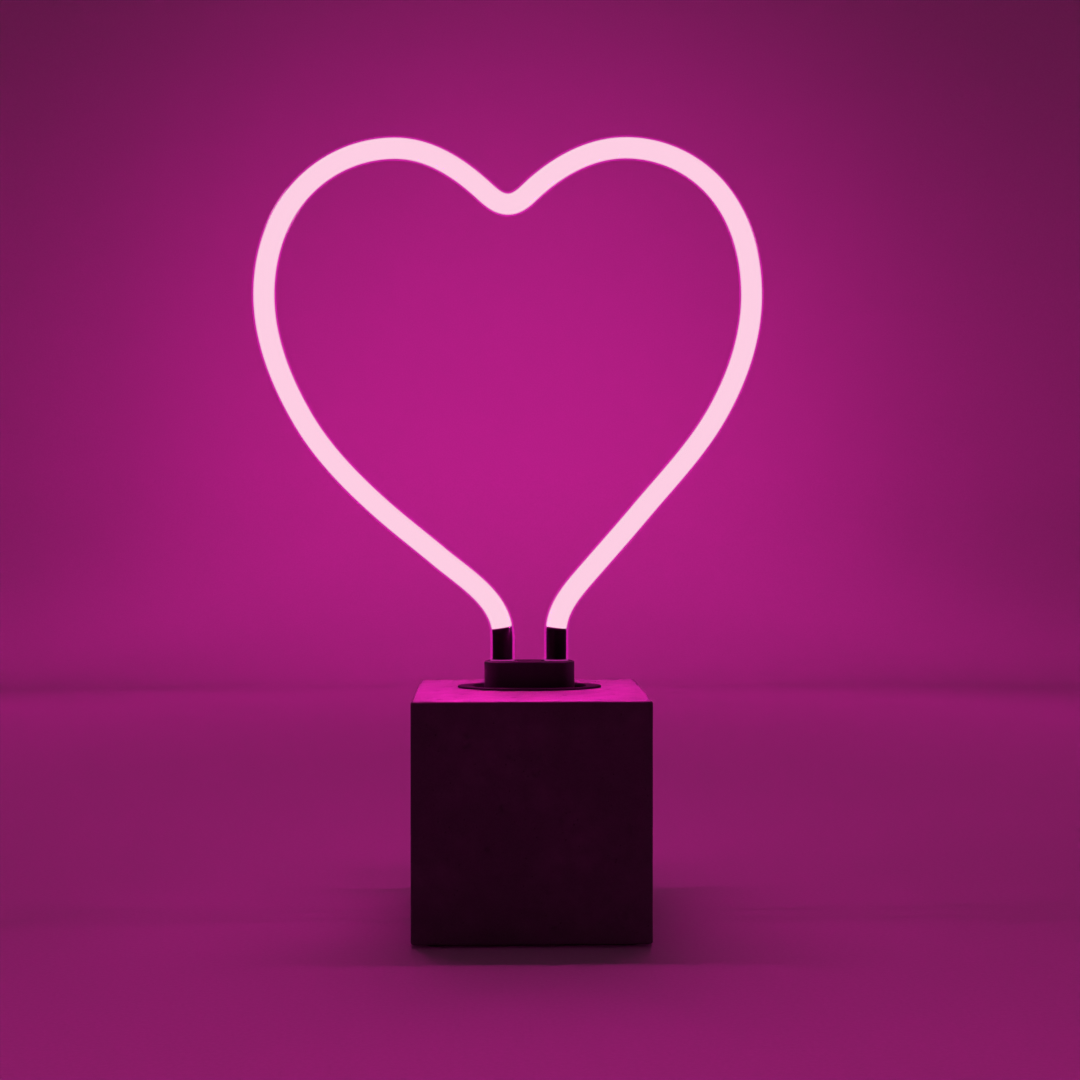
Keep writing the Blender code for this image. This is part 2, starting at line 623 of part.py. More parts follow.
def make_switch(m, base, rocker_body):
    """The rocker switch: housing, terminals, pivot pin and the rocker itself."""
    backwards = (-pi / 2, 0, 0)
    bezel_back = -0.0016
    housing = add("switch_housing", skin([
        level(rectangle(SWITCH_BODY, 0.0006, 3), -SWITCH_DEPTH),
        level(rectangle(SWITCH_BODY, 0.0006, 3), bezel_back),
        level(rectangle(SWITCH_BEZEL, 0.0014, 3), bezel_back),
        level(rectangle(SWITCH_BEZEL, 0.0014, 3), -0.0005),
        level(rectangle((SWITCH_BEZEL[0] - 0.0008, SWITCH_BEZEL[1] - 0.0008), 0.0012, 3), -0.0001),
    ]), m["plastic"], base, SWITCH, backwards)
    cut(housing, "rocker_pocket", prism(rectangle(SWITCH_POCKET), -0.0085, THROUGH), SWITCH, backwards)
    pivot = (SWITCH[0], SWITCH[1] - PIVOT_DEPTH, SWITCH[2])
    sideways = (0, pi / 2, 0)
    pin_half = 0.0062
    pin_hole = prism(circle(PIVOT_RADIUS + 0.00015, 12), -pin_half - 0.0001, pin_half + 0.0001)
    cut(housing, "pivot_hole", pin_hole, pivot, sideways)
    pin = prism(circle(PIVOT_RADIUS, 12), -pin_half, pin_half)
    add("switch_pivot_pin", pin, m["steel"], base, pivot, sideways)
    for name, offset in (("upper", TERMINAL_OFFSET), ("lower", -TERMINAL_OFFSET)):
        place = (SWITCH[0], SWITCH[1], SWITCH[2] + offset)
        slot = prism(rectangle((0.0050, 0.0014)), -SWITCH_DEPTH - THROUGH, -0.0110)
        cut(housing, "terminal_slot_" + name, slot, place, backwards)
        tab = prism(rectangle((0.0044, 0.0008)), -0.0205, -0.0113)
        add("switch_terminal_" + name, tab, m["brass"], base, place, backwards)

    outline = [(out, -z) for z, out in rocker_outline()]
    tilt = Matrix.Rotation(ROCKER_TILT, 4, "X")
    mesh = extruded_x(outline, ROCKER_WIDTH)
    bmesh.ops.transform(mesh, matrix=tilt, verts=mesh.verts)
    rocker = add("switch_rocker", mesh, m["rocker"], rocker_body)
    bore = prism(circle(PIVOT_RADIUS + 0.00015, 12), -pin_half, pin_half)
    cut(rocker, "rocker_bore", bore, pivot, sideways)


def make_wiring(m, base):
    """The leads inside the cube."""
    tail = BLOCK_TOP - 0.0193
    for side, sign in (("left", -1), ("right", 1)):
        hole_x = sign * HV_HOLE[0]
        add_wire("hv_wire_" + side, [
            (sign * LEG_X, SOCKET_Y, tail), (sign * LEG_X, SOCKET_Y, tail - 0.006),
            (sign * 0.0125, 0.004, 0.052), (sign * 0.0165, -0.011, 0.043), (hole_x, -0.0195, 0.036),
            (hole_x, HV_HOLE[1], 0.029), (hole_x, HV_HOLE[1], 0.022), (hole_x, HV_HOLE[1], 0.0112),
        ], HV_WIRE_RADIUS, m["silicone"], base)
    back_of_switch = BACK - 0.0208
    lower = SWITCH[2] - TERMINAL_OFFSET
    upper = SWITCH[2] + TERMINAL_OFFSET
    case_back = CASE_Y + CASE[1] / 2
    add_wire("dc_wire_supply", [
        (INLET[0], BACK - 0.0203, INLET[2]), (INLET[0] + 0.0015, BACK - 0.0235, INLET[2]),
        (-0.008, 0.0165, 0.0235), (0.0, 0.0150, 0.0220), (0.008, 0.0155, 0.0185),
        (SWITCH[0] - 0.0015, back_of_switch - 0.0035, lower), (SWITCH[0], back_of_switch, lower),
    ], DC_WIRE_RADIUS, m["red_wire"], base)
    add_wire("dc_wire_switched", [
        (SWITCH[0], back_of_switch, upper), (SWITCH[0] + 0.0004, back_of_switch - 0.004, upper - 0.0005),
        (0.0178, 0.0130, 0.0220), (DC_HOLE_X, case_back + 0.0015, DC_HOLE_Z + 0.0008),
        (DC_HOLE_X, case_back - 0.002, DC_HOLE_Z), (DC_HOLE_X, case_back - 0.005, 0.0145),
        (DC_HOLE_X, case_back - 0.007, PART_BOTTOM + 0.0008),
    ], DC_WIRE_RADIUS, m["red_wire"], base)
    add_wire("dc_wire_return", [
        (INLET[0], BACK - 0.0228, INLET[2] - 0.0028), (INLET[0] - 0.0008, 0.0165, INLET[2] - 0.0035),
        (-0.0180, 0.0125, 0.0172), (-DC_HOLE_X, case_back + 0.0005, DC_HOLE_Z),
        (-DC_HOLE_X, case_back - 0.002, DC_HOLE_Z), (-DC_HOLE_X, case_back - 0.005, 0.0145),
        (-DC_HOLE_X, case_back - 0.007, PART_BOTTOM + 0.0008),
    ], DC_WIRE_RADIUS, m["black_wire"], base)


def make_materials():
    return {
        "glass": make_material("clear_glass", (0.95, 0.55, 0.85), 0.05),
        "glow": make_material("neon_glow", (1.0, 0.45, 0.75), 0.5, emission=2.0),
        "electrode": make_material("electrode_black", (0.02, 0.01, 0.02), 0.5, 0.3),
        "seal": make_material("seal_glass", (0.75, 0.75, 0.72), 0.2),
        "concrete": make_material("cast_concrete", (0.20, 0.20, 0.20), 0.9),
        "plastic": make_material("black_plastic", (0.02, 0.02, 0.02), 0.35),
        "rocker": make_material("rocker_plastic", (0.03, 0.03, 0.03), 0.25),
        "rubber": make_material("black_rubber", (0.03, 0.03, 0.03), 0.7),
        "pad": make_material("foam_pad", (0.05, 0.05, 0.05), 0.95),
        "steel": make_material("zinc_steel", (0.60, 0.60, 0.60), 0.35, 1.0),
        "brass": make_material("brass", (0.75, 0.58, 0.28), 0.3, 1.0),
        "copper": make_material("copper", (0.72, 0.38, 0.20), 0.35, 1.0),
        "aluminium": make_material("aluminium", (0.70, 0.70, 0.72), 0.35, 1.0),
        "board": make_material("board_green", (0.05, 0.22, 0.10), 0.45),
        "ferrite": make_material("ferrite", (0.06, 0.06, 0.07), 0.6),
        "can": make_material("capacitor_can", (0.05, 0.07, 0.20), 0.3),
        "ceramic": make_material("ceramic_blue", (0.10, 0.25, 0.55), 0.35),
        "silicone": make_material("white_silicone", (0.80, 0.80, 0.78), 0.5),
        "red_wire": make_material("red_insulation", (0.60, 0.04, 0.03), 0.45),
        "black_wire": make_material("black_insulation", (0.03, 0.03, 0.03), 0.45),
    }


def main():
    clear_scene()
    materials = make_materials()
    base = add_body("base_body")
    head = add_body("head_body")
    rocker_body = add_body("rocker_body", (SWITCH[0], SWITCH[1] - PIVOT_DEPTH, SWITCH[2]))
    make_concrete(materials, base)
    make_base_cover(materials, base)
    make_socket(materials, base)
    make_inverter(materials, base)
    make_inlet(materials, base)
    make_switch(materials, base, rocker_body)
    make_wiring(materials, base)
    make_plug(materials, head)
    make_tube(materials, head)


main()
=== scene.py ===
"""The looks of the heart neon lamp: smooth glass, glow, cast concrete, moulded plastic.

Everything is in metres in the CAD's frame: +Z up, front towards -Y, standing on z = 0.
"""
import json
from math import ceil, cos, pi, radians, sin, tan
from random import Random

import bmesh
import bpy
import numpy as np
from mathutils import Matrix, Vector, noise
from mathutils.geometry import interpolate_bezier

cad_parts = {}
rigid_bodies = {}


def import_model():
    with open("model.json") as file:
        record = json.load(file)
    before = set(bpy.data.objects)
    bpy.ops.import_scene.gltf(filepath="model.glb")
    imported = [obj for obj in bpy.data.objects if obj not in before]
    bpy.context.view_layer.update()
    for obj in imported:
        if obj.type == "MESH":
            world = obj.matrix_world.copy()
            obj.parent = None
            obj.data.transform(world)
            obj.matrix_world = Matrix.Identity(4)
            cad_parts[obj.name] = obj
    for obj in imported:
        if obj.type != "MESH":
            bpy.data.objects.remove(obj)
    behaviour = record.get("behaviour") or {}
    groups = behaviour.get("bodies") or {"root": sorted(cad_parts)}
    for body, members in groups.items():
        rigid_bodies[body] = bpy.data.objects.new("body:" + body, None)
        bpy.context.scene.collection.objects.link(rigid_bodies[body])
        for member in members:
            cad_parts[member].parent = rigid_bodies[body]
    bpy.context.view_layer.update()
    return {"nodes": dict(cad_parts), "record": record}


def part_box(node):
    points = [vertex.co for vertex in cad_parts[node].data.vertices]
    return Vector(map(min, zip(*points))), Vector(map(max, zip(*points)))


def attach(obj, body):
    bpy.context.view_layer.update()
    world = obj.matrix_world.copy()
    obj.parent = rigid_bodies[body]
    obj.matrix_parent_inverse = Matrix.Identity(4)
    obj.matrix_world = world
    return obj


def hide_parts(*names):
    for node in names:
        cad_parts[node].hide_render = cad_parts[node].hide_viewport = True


MM = 0.001
GAP = 0.3 * MM

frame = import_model()

# Places read from the frame
block_low, block_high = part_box("concrete_block")
plug_low, plug_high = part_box("plug_block")
socket_low, socket_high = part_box("socket")
tube_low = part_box("neon_tube")[0]
cover_low, cover_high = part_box("base_cover")
pad_low, pad_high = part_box("base_pad")
BLOCK_TOP = block_high.z
BLOCK_BOTTOM = block_low.z
BACK = block_high.y
SOCKET_Y = (plug_low.y + plug_high.y) / 2
CUBE = block_high.x - block_low.x

# The CAD's places that no box gives
BACK_FITTING_X = 0.013
BACK_FITTING_Z = 0.022
INLET = Vector((-BACK_FITTING_X, BACK, BACK_FITTING_Z))
SWITCH = Vector((BACK_FITTING_X, BACK, BACK_FITTING_Z))
BACKWARDS = Matrix.Rotation(-pi / 2, 4, "X")
SCREW_SPACING = 0.031
LEG_X = 0.0102

# The heart's centre line, as the CAD has it: x and height above the cube in
# millimetres, and the heading in degrees
HEART_KNOTS = (
    (-10.2, 19.6, 90), (-34.3, 49.6, 140), (-56.8, 68.3, 138), (-85.8, 101.9, 120),
    (-100.2, 148.5, 90), (-94.0, 176.3, 64), (-50.6, 203.8, 0), (-18.1, 188.7, -42),
    (-8.1, 182.9, 0), (2.8, 189.9, 41), (36.7, 204.4, 0), (70.6, 189.4, -48),
    (84.4, 148.7, -90), (71.8, 104.6, -119), (42.2, 66.5, -130), (21.3, 42.4, -131),
    (10.2, 21.2, -90),
)


# Node trees

# The Mix node's colour inputs and its colour output
COLOUR_SOCKETS = (6, 7)
COLOUR_RESULT = 2


class Tree:
    """A material's node tree around one Principled shader."""

    def __init__(self, name):
        self.material = bpy.data.materials.new(name)
        self.material.use_nodes = True
        self.nodes = self.material.node_tree.nodes
        self.links = self.material.node_tree.links
        self.shader = self.nodes["Principled BSDF"]
        self.coords = self.nodes.new("ShaderNodeTexCoord").outputs["Object"]

    def put(self, socket, value):
        if isinstance(value, bpy.types.NodeSocket):
            self.links.new(value, socket)
        else:
            socket.default_value = value

    def add(self, kind, inputs, **settings):
        node = self.nodes.new(kind)
        for key, value in settings.items():
            setattr(node, key, value)
        for key, value in inputs.items():
            self.put(node.inputs[key], value)
        return node

    def set(self, **inputs):
        """Sets the shader's inputs, whose names are written with underscores."""
        for key, value in inputs.items():
            self.put(self.shader.inputs[key.replace("_", " ")], value)

    def noise(self, scale, detail=4.0, roughness=0.55, coords=None):
        inputs = {"Vector": coords or self.coords, "Scale": scale, "Detail": detail,
                  "Roughness": roughness}
        return self.add("ShaderNodeTexNoise", inputs).outputs["Fac"]

    def cells(self, scale, feature="F1", coords=None):
        inputs = {"Vector": coords or self.coords, "Scale": scale}
        return self.add("ShaderNodeTexVoronoi", inputs, feature=feature).outputs["Distance"]

    def stretched(self, scale):
        node = self.add("ShaderNodeMapping", {"Vector": self.coords, "Scale": scale})
        return node.outputs["Vector"]

    def range(self, value, low, high, new_low=0.0, new_high=1.0, smooth=False):
        inputs = {"Value": value, "From Min": low, "From Max": high, "To Min": new_low,
                  "To Max": new_high}
        shape = "SMOOTHSTEP" if smooth else "LINEAR"
        return self.add("ShaderNodeMapRange", inputs, interpolation_type=shape).outputs["Result"]

    def ramp(self, value, *stops):
        node = self.add("ShaderNodeValToRGB", {"Fac": value})
        elements = node.color_ramp.elements
        while len(elements) < len(stops):
            elements.new(1.0)
        for element, (position, colour) in zip(elements, stops):
            element.position = position
            element.color = (*colour, 1.0)
        return node.outputs["Color"]

    def mix(self, factor, first, second, blend="MIX"):
        node = self.nodes.new("ShaderNodeMix")
        node.data_type = "RGBA"
        node.blend_type = blend
        self.put(node.inputs[0], factor)
        for socket, colour in zip(COLOUR_SOCKETS, (first, second)):
            plain = not isinstance(colour, bpy.types.NodeSocket)
            self.put(node.inputs[socket], (*colour, 1.0) if plain else colour)
        return node.outputs[COLOUR_RESULT]

    def math(self, operation, first, second=0.0):
        node = self.nodes.new("ShaderNodeMath")
        node.operation = operation
        self.put(node.inputs[0], first)
        self.put(node.inputs[1], second)
        return node.outputs[0]

    def bump(self, height, distance, strength=1.0, normal=None):
        inputs = {"Height": height, "Distance": distance, "Strength": strength}
        if normal is not None:
            inputs["Normal"] = normal
        return self.add("ShaderNodeBump", inputs).outputs["Normal"]


def grey(value):
    return (value, value, value)


CEMENT = (
    (0.30, (0.052, 0.051, 0.052)),
    (0.52, (0.070, 0.069, 0.070)),
    (0.75, (0.100, 0.098, 0.098)),
)
CEMENT_PATCH = (0.048, 0.047, 0.049)
CEMENT_GRAIN = (0.125, 0.123, 0.121)
CEMENT_SAND = (0.036, 0.036, 0.038)
# The paler tone of the edges: partly rubbed wear, partly a painted edge highlight
CEMENT_RUBBED_AND_HIGHLIGHT = (0.150, 0.148, 0.145)
# The pinholes' colour: painted shade in the pits
CEMENT_PIT_SHADE = (0.035, 0.034, 0.036)


def cast_concrete():
    """Charcoal concrete: clouding, pale bloom, fine grains, pinholes with painted shade, and rubbed
    edges painted paler, partly wear and partly a painted highlight.
    """
    tree = Tree("cast_concrete")
    clouds = tree.noise(28, 5, 0.6)
    blotches = tree.noise(140, 4, 0.6)
    grains = tree.noise(2600, 3, 0.7)
    cement = tree.ramp(clouds, *CEMENT)
    patched = tree.mix(tree.range(blotches, 0.35, 0.75, 0.0, 0.55), cement, CEMENT_PATCH)
    grained = tree.mix(tree.range(grains, 0.30, 0.75, 0.0, 0.45), patched, CEMENT_GRAIN)
    sand = tree.range(tree.cells(1500), 0.10, 0.22, 1.0, 0.0)
    sanded = tree.mix(tree.math("MULTIPLY", sand, 0.35), grained, CEMENT_SAND)
    # Paler along the arrises: partly rubbed wear, partly a painted highlight where the edges catch
    # the glow
    pointiness = tree.nodes.new("ShaderNodeNewGeometry").outputs["Pointiness"]
    edge_wear_and_highlight = tree.range(pointiness, 0.53, 0.60)
    uneven_wear_and_highlight = tree.math("MULTIPLY", edge_wear_and_highlight, tree.range(blotches, 0.35, 0.65, 0.1, 0.7))
    rubbed = tree.mix(uneven_wear_and_highlight, sanded, CEMENT_RUBBED_AND_HIGHLIGHT)
    holes = tree.cells(420, coords=tree.stretched((1.0, 1.0, 0.85)))
    pinholes = tree.range(holes, 0.05, 0.13, 0.0, 1.0, True)
    solid_here = tree.range(tree.noise(75, 2), 0.46, 0.56, 1.0, 0.0)
    unbroken = tree.math("MAXIMUM", pinholes, solid_here)
    # The pinholes are painted darker, a painted shade inside the pits
    colour = tree.mix(unbroken, CEMENT_PIT_SHADE, rubbed)
    fine = tree.bump(grains, 0.00010, 0.6)
    rolling = tree.bump(blotches, 0.00035, 0.45, fine)
    tree.set(Base_Color=colour, Roughness=tree.range(blotches, 0.3, 0.7, 0.78, 0.93),
             Normal=tree.bump(unbroken, 0.0004, 0.8, rolling), Specular_IOR_Level=0.35)
    return tree.material


def moulded_plastic(name, colour, roughness, grain=0.00003, grain_scale=3800, gloss=0.5):
    """Moulded plastic with a spark-eroded grain, faint flow marks and rubbed spots."""
    tree = Tree(name)
    grains = tree.noise(grain_scale, 2, 0.5)
    flow = tree.noise(60, 3, 0.5, tree.stretched((1.0, 1.0, 0.35)))
    handling = tree.noise(220, 4, 0.65)
    rubbed = tree.range(handling, 0.35, 0.75, roughness - 0.06, roughness + 0.10)
    paler = [c * 1.5 + 0.002 for c in colour]
    dusty = tree.mix(tree.range(flow, 0.35, 0.75, 0.0, 0.35), colour, paler)
    tree.set(Base_Color=dusty, Roughness=rubbed, Specular_IOR_Level=gloss,
             Normal=tree.bump(grains, grain, 0.6))
    return tree.material


def soft_rubber(name, colour, cell_scale=0.0):
    """Rubber, or foam where it has cells, whose hollows are painted darker as painted shade."""
    tree = Tree(name)
    mottle = tree.noise(500, 4, 0.6)
    darker = [c * 0.75 for c in colour]
    paler = [c * 1.3 + 0.004 for c in colour]
    shade = tree.mix(tree.range(mottle, 0.3, 0.7), darker, paler)
    if cell_scale:
        cells = tree.range(tree.cells(cell_scale), 0.05, 0.45)
        # Each cell's hollow painted darker: painted shade
        shade = tree.mix(cells, [c * 0.5 for c in colour], shade)
        tree.set(Normal=tree.bump(cells, 0.00015, 0.9))
    else:
        tree.set(Normal=tree.bump(tree.noise(2400, 3), 0.00004, 0.7))
    tree.set(Base_Color=shade, Roughness=tree.range(mottle, 0.3, 0.7, 0.6, 0.85),
             Specular_IOR_Level=0.3)
    return tree.material


def worked_metal(name, colour, roughness, stretch=(1.0, 1.0, 0.06)):
    """Turned or drawn metal with fine lines, tarnish and handling marks."""
    tree = Tree(name)
    lines = tree.noise(5200, 3, 0.6, tree.stretched(stretch))
    tarnish = tree.noise(320, 5, 0.65)
    darker = [c * 0.62 for c in colour]
    shade = tree.mix(tree.range(tarnish, 0.35, 0.75, 0.0, 0.6), colour, darker)
    tree.set(Base_Color=shade, Metallic=1.0, Normal=tree.bump(lines, 0.00002, 0.5),
             Roughness=tree.range(tarnish, 0.3, 0.75, roughness - 0.06, roughness + 0.16))
    return tree.material


def glazed(name, colour, roughness, scale=900):
    """Small dipped, sintered or coated parts."""
    tree = Tree(name)
    spots = tree.noise(scale, 4, 0.6)
    darker = [c * 0.8 for c in colour]
    paler = [c * 1.15 + 0.003 for c in colour]
    tree.set(Base_Color=tree.mix(tree.range(spots, 0.35, 0.7), darker, paler),
             Roughness=tree.range(spots, 0.3, 0.7, roughness - 0.05, roughness + 0.12),
             Normal=tree.bump(spots, 0.00004, 0.5))
    return tree.material


def wound_copper():
    """Enamelled wire laid in turns along X, with painted shade between the turns and a painted
    highlight along each.
    """
    tree = Tree("winding_copper")
    inputs = {"Vector": tree.coords, "Scale": 420.0, "Distortion": 0.4, "Detail": 1.0}
    turns = tree.add("ShaderNodeTexWave", inputs, bands_direction="X").outputs["Fac"]
    # Dark to bright across each turn: painted shade in the grooves and painted highlight on the
    # crowns
    shade = tree.mix(turns, (0.22, 0.07, 0.025), (0.75, 0.36, 0.17))
    tree.set(Base_Color=shade, Metallic=0.85, Roughness=0.34, Normal=tree.bump(turns, 0.0002, 0.8))
    return tree.material


def solder_mask():
    """A green board with paler tracks."""
    tree = Tree("board_green")
    tracks = tree.range(tree.cells(210, "DISTANCE_TO_EDGE"), 0.02, 0.05, 1.0, 0.0)
    shade = tree.mix(tracks, (0.018, 0.12, 0.05), (0.05, 0.24, 0.10))
    tree.set(Base_Color=shade, Roughness=0.38, Normal=tree.bump(tracks, 0.00005, 0.6))
    return tree.material


# What the camera sees of the lining, and the light that it gives
GLOW_SEEN = (1.0, 0.624, 0.783)
GLOW_SEEN_STRENGTH = 1.05
GLOW_LIGHT = (1.0, 0.012, 0.50)
GLOW_REACH = 1.6
GLOW_PEAK = 154.0
# How strong the light is for what lies at each distance in metres, so that the cube's
# top is bright, the pale floor isn't burnt out, and the sweep behind still glows
GLOW_BY_DISTANCE = (
    (0.002, 0.007), (0.006, 0.64), (0.02, 0.90), (0.09, 0.90), (0.12, 0.22), (0.15, 0.042),
    (0.20, 0.031), (0.27, 0.040), (0.36, 0.080), (0.45, 0.127), (0.55, 0.23), (0.65, 0.38),
    (0.75, 0.60), (0.83, 0.82), (0.90, 1.0), (0.97, 0.76), (1.03, 0.63), (1.08, 0.64),
    (1.11, 0.62), (1.14, 0.47), (1.18, 0.29), (1.23, 0.14), (1.30, 0.04), (1.60, 0.0),
)


def neon_glow():
    """The lit lining: pink-white to look at, and deep magenta in the light that it gives."""
    tree = Tree("neon_glow")
    tree.nodes.remove(tree.shader)
    path = tree.nodes.new("ShaderNodeLightPath")
    stops = [(distance / GLOW_REACH, grey(value)) for distance, value in GLOW_BY_DISTANCE]
    strength = tree.ramp(tree.math("DIVIDE", path.outputs["Ray Length"], GLOW_REACH), *stops)
    power = tree.math("MULTIPLY", strength, GLOW_PEAK)
    seen = tree.add("ShaderNodeEmission", {
        "Color": (*GLOW_SEEN, 1.0), "Strength": GLOW_SEEN_STRENGTH})
    cast = tree.add("ShaderNodeEmission", {"Color": (*GLOW_LIGHT, 1.0), "Strength": power})
    both = tree.add("ShaderNodeMixShader", {
        0: path.outputs["Is Camera Ray"], 1: cast.outputs[0], 2: seen.outputs[0]})
    tree.links.new(both.outputs[0], tree.nodes["Material Output"].inputs["Surface"])
    return tree.material


# Painted light on the glass: a glow on the rim and a highlight ring at the foot
PAINTED_RIM_GLOW = (0.85, 0.010, 0.52)
PAINTED_FOOT_HIGHLIGHT = (0.50, 0.05, 0.36)


def tube_glass():
    """Clear glass with a painted glow on its rim and a painted highlight ring at its feet, emitted
    by the glass itself.
    """
    tree = Tree("tube_glass")
    facing = tree.add("ShaderNodeLayerWeight", {"Blend": 0.5}).outputs["Facing"]
    # Painted rim glow, stronger where the glass is seen edge-on
    edge = tree.range(facing, 0.50, 0.85, 0.0, 1.0, True)
    height = tree.add("ShaderNodeSeparateXYZ", {"Vector": tree.coords}).outputs["Z"]
    foot = plug_high.z + 0.3 * MM
    # A painted highlight ring on the glass just above the plug
    ring = tree.range(height, foot + 0.1 * MM, foot + 0.6 * MM, 1.0, 0.0, True)
    glow = tree.math("MAXIMUM", edge, tree.math("MULTIPLY", ring, 0.8))
    tree.set(Base_Color=(0.0, 0.0, 0.0, 1.0), Roughness=0.05, IOR=1.47,
             Emission_Color=tree.mix(ring, PAINTED_RIM_GLOW, PAINTED_FOOT_HIGHLIGHT), Emission_Strength=glow,
             Alpha=tree.range(glow, 0.0, 1.0, 0.03, 0.80))
    return tree.material


def make_materials():
    return {
        "cast_concrete": cast_concrete(),
        "tube_glass": tube_glass(),
        "neon_glow": neon_glow(),
        "electrode_black": moulded_plastic("electrode_black", (0.003, 0.002, 0.003), 0.6,
                                           gloss=0.15),
        "seal_glass": glazed("seal_glass", (0.62, 0.62, 0.60), 0.18),
        "black_plastic": moulded_plastic("black_plastic", (0.013, 0.013, 0.014), 0.50,
                                         gloss=0.30),
        "socket_plastic": moulded_plastic("socket_plastic", (0.010, 0.010, 0.011), 0.75,
                                          gloss=0.06),
        "case_plastic": moulded_plastic("case_plastic", (0.045, 0.045, 0.048), 0.46),
        "rocker_plastic": moulded_plastic("rocker_plastic", (0.022, 0.022, 0.023), 0.24,
                                          0.00001),
        "black_rubber": soft_rubber("black_rubber", (0.025, 0.024, 0.025)),
        "foam_pad": soft_rubber("foam_pad", (0.045, 0.045, 0.047), 1900),
        "zinc_steel": worked_metal("zinc_steel", (0.62, 0.61, 0.58), 0.30),
        "brass": worked_metal("brass", (0.80, 0.60, 0.27), 0.24),
        "copper": wound_copper(),
        "aluminium": worked_metal("aluminium", (0.72, 0.72, 0.74), 0.32),
        "board_green": solder_mask(),
        "ferrite": glazed("ferrite", (0.05, 0.05, 0.055), 0.55),
        "capacitor_can": glazed("capacitor_can", (0.03, 0.05, 0.17), 0.30),
        "ceramic_blue": glazed("ceramic_blue", (0.07, 0.20, 0.48), 0.28),
        "white_silicone": soft_rubber("white_silicone", (0.72, 0.71, 0.68)),
        "red_insulation": soft_rubber("red_insulation", (0.52, 0.03, 0.025)),
        "black_insulation": soft_rubber("black_insulation", (0.022, 0.022, 0.023)),
        "mark_white": glazed("mark_white", (0.70, 0.70, 0.68), 0.45),
    }


# Outlines: closed lists of (x, y), anticlockwise

def arc_angles(start, end, count):
    return [start + (end - start) * i / (count - 1) for i in range(count)]


def circle(radius, count=64):
    angles = [2 * pi * i / count for i in range(count)]
    return [(radius * cos(a), radius * sin(a)) for a in angles]


def oval(length, width, count=128):
    """An ellipse whose points match an obround's, one to one."""
    step = 2 * pi / count
    angles = [(i + 0.5) * step - pi / 2 for i in range(count)]
    return [(length / 2 * cos(a), width / 2 * sin(a)) for a in angles]


def obround(length, width, count=128):
    radius = width / 2
    shift = length / 2 - radius
    half = count // 2
    points = []
    for middle, start in ((shift, -pi / 2), (-shift, pi / 2)):
        points += [(middle + radius * cos(a), radius * sin(a))
                   for a in arc_angles(start, start + pi, half)]
    return points


def rectangle(length, width, corner, steps=8):
    points = []
    for quarter in range(4):
        centre_x = (length / 2 - corner) * (1 if quarter in (0, 3) else -1)
        centre_y = (width / 2 - corner) * (1 if quarter in (0, 1) else -1)
        for angle in arc_angles(quarter * pi / 2, (quarter + 1) * pi / 2, steps + 1):
            points.append((centre_x + corner * cos(angle), centre_y + corner * sin(angle)))
    return points


def level(outline, z):
    return [Vector((x, y, z)) for x, y in outline]


# Meshes

def skin(rings, closed=False):
    """A mesh through rings of equal length: capped at both ends, or joined end to start."""
    mesh = bmesh.new()
    loops = [[mesh.verts.new(point) for point in ring] for ring in rings]
    count = len(loops[0])
    pairs = list(zip(loops, loops[1:]))
    if closed:
        pairs.append((loops[-1], loops[0]))
    else:
        mesh.faces.new(loops[0])
        mesh.faces.new(loops[-1])
    for lower, upper in pairs:
        for i in range(count):
            j = (i + 1) % count
            mesh.faces.new((lower[i], lower[j], upper[j], upper[i]))
    bmesh.ops.recalc_face_normals(mesh, faces=mesh.faces)
    return mesh


def turned(profile, closed=False, count=64):
    """A solid of revolution about Z, from a profile of (radius, z)."""
    return skin([level(circle(radius, count), z) for radius, z in profile], closed)


def prism(outline, bottom, top):
    return skin([level(outline, bottom), level(outline, top)])


def rounded_corner(radius, z, size, start, end, steps=5):
    """Profile points along a quarter fillet whose centre is at (radius, z)."""
    return [(radius + size * cos(a), z + size * sin(a)) for a in arc_angles(start, end, steps)]


SMOOTH_ANGLE = 35


def add(name, mesh, material, place=None, smooth_angle=SMOOTH_ANGLE):
    """A mesh object whose mesh is moved into place in the CAD's frame."""
    if place is not None:
        bmesh.ops.transform(mesh, matrix=place, verts=mesh.verts)
    data = bpy.data.meshes.new(name)
    mesh.to_mesh(data)
    mesh.free()
    data.materials.append(material)
    data.shade_smooth()
    data.set_sharp_from_angle(angle=radians(smooth_angle))
    piece = bpy.data.objects.new(name, data)
    bpy.context.scene.collection.objects.link(piece)
    return piece


def cut(piece, *cutters, solver="EXACT"):
    """Subtracts meshes, given as (mesh, place), and applies the result."""
    for mesh, place in cutters:
        cutter = add("cutter", mesh, piece.data.materials[0], place)
        modifier = piece.modifiers.new("cut", "BOOLEAN")
        modifier.operation = "DIFFERENCE"
        modifier.solver = solver
        modifier.object = cutter
        graph = bpy.context.evaluated_depsgraph_get()
        result = bpy.data.meshes.new_from_object(piece.evaluated_get(graph))
        piece.modifiers.clear()
        old = piece.data
        piece.data = result
        bpy.data.meshes.remove(old)
        bpy.data.objects.remove(cutter)
    piece.data.set_sharp_from_angle(angle=radians(SMOOTH_ANGLE))
    return piece


def finished(piece, body, slot, *nodes):
    """Says what a piece rides on and hides the CAD nodes that it stands for; its finish, slot, is
    not used.
    """
    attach(piece, body)
    if nodes:
        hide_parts(*nodes)
    return piece


def at(x, y, z):
    return Matrix.Translation((x, y, z))


# The heart's centre line

def handle_length(chord, turn):
    if abs(turn) < radians(0.1):
        return chord / 3
    return chord * 2 / 3 * tan(abs(turn) / 4) / sin(abs(turn) / 2)


LEG_STEPS = (0, 6 * MM, 12 * MM)


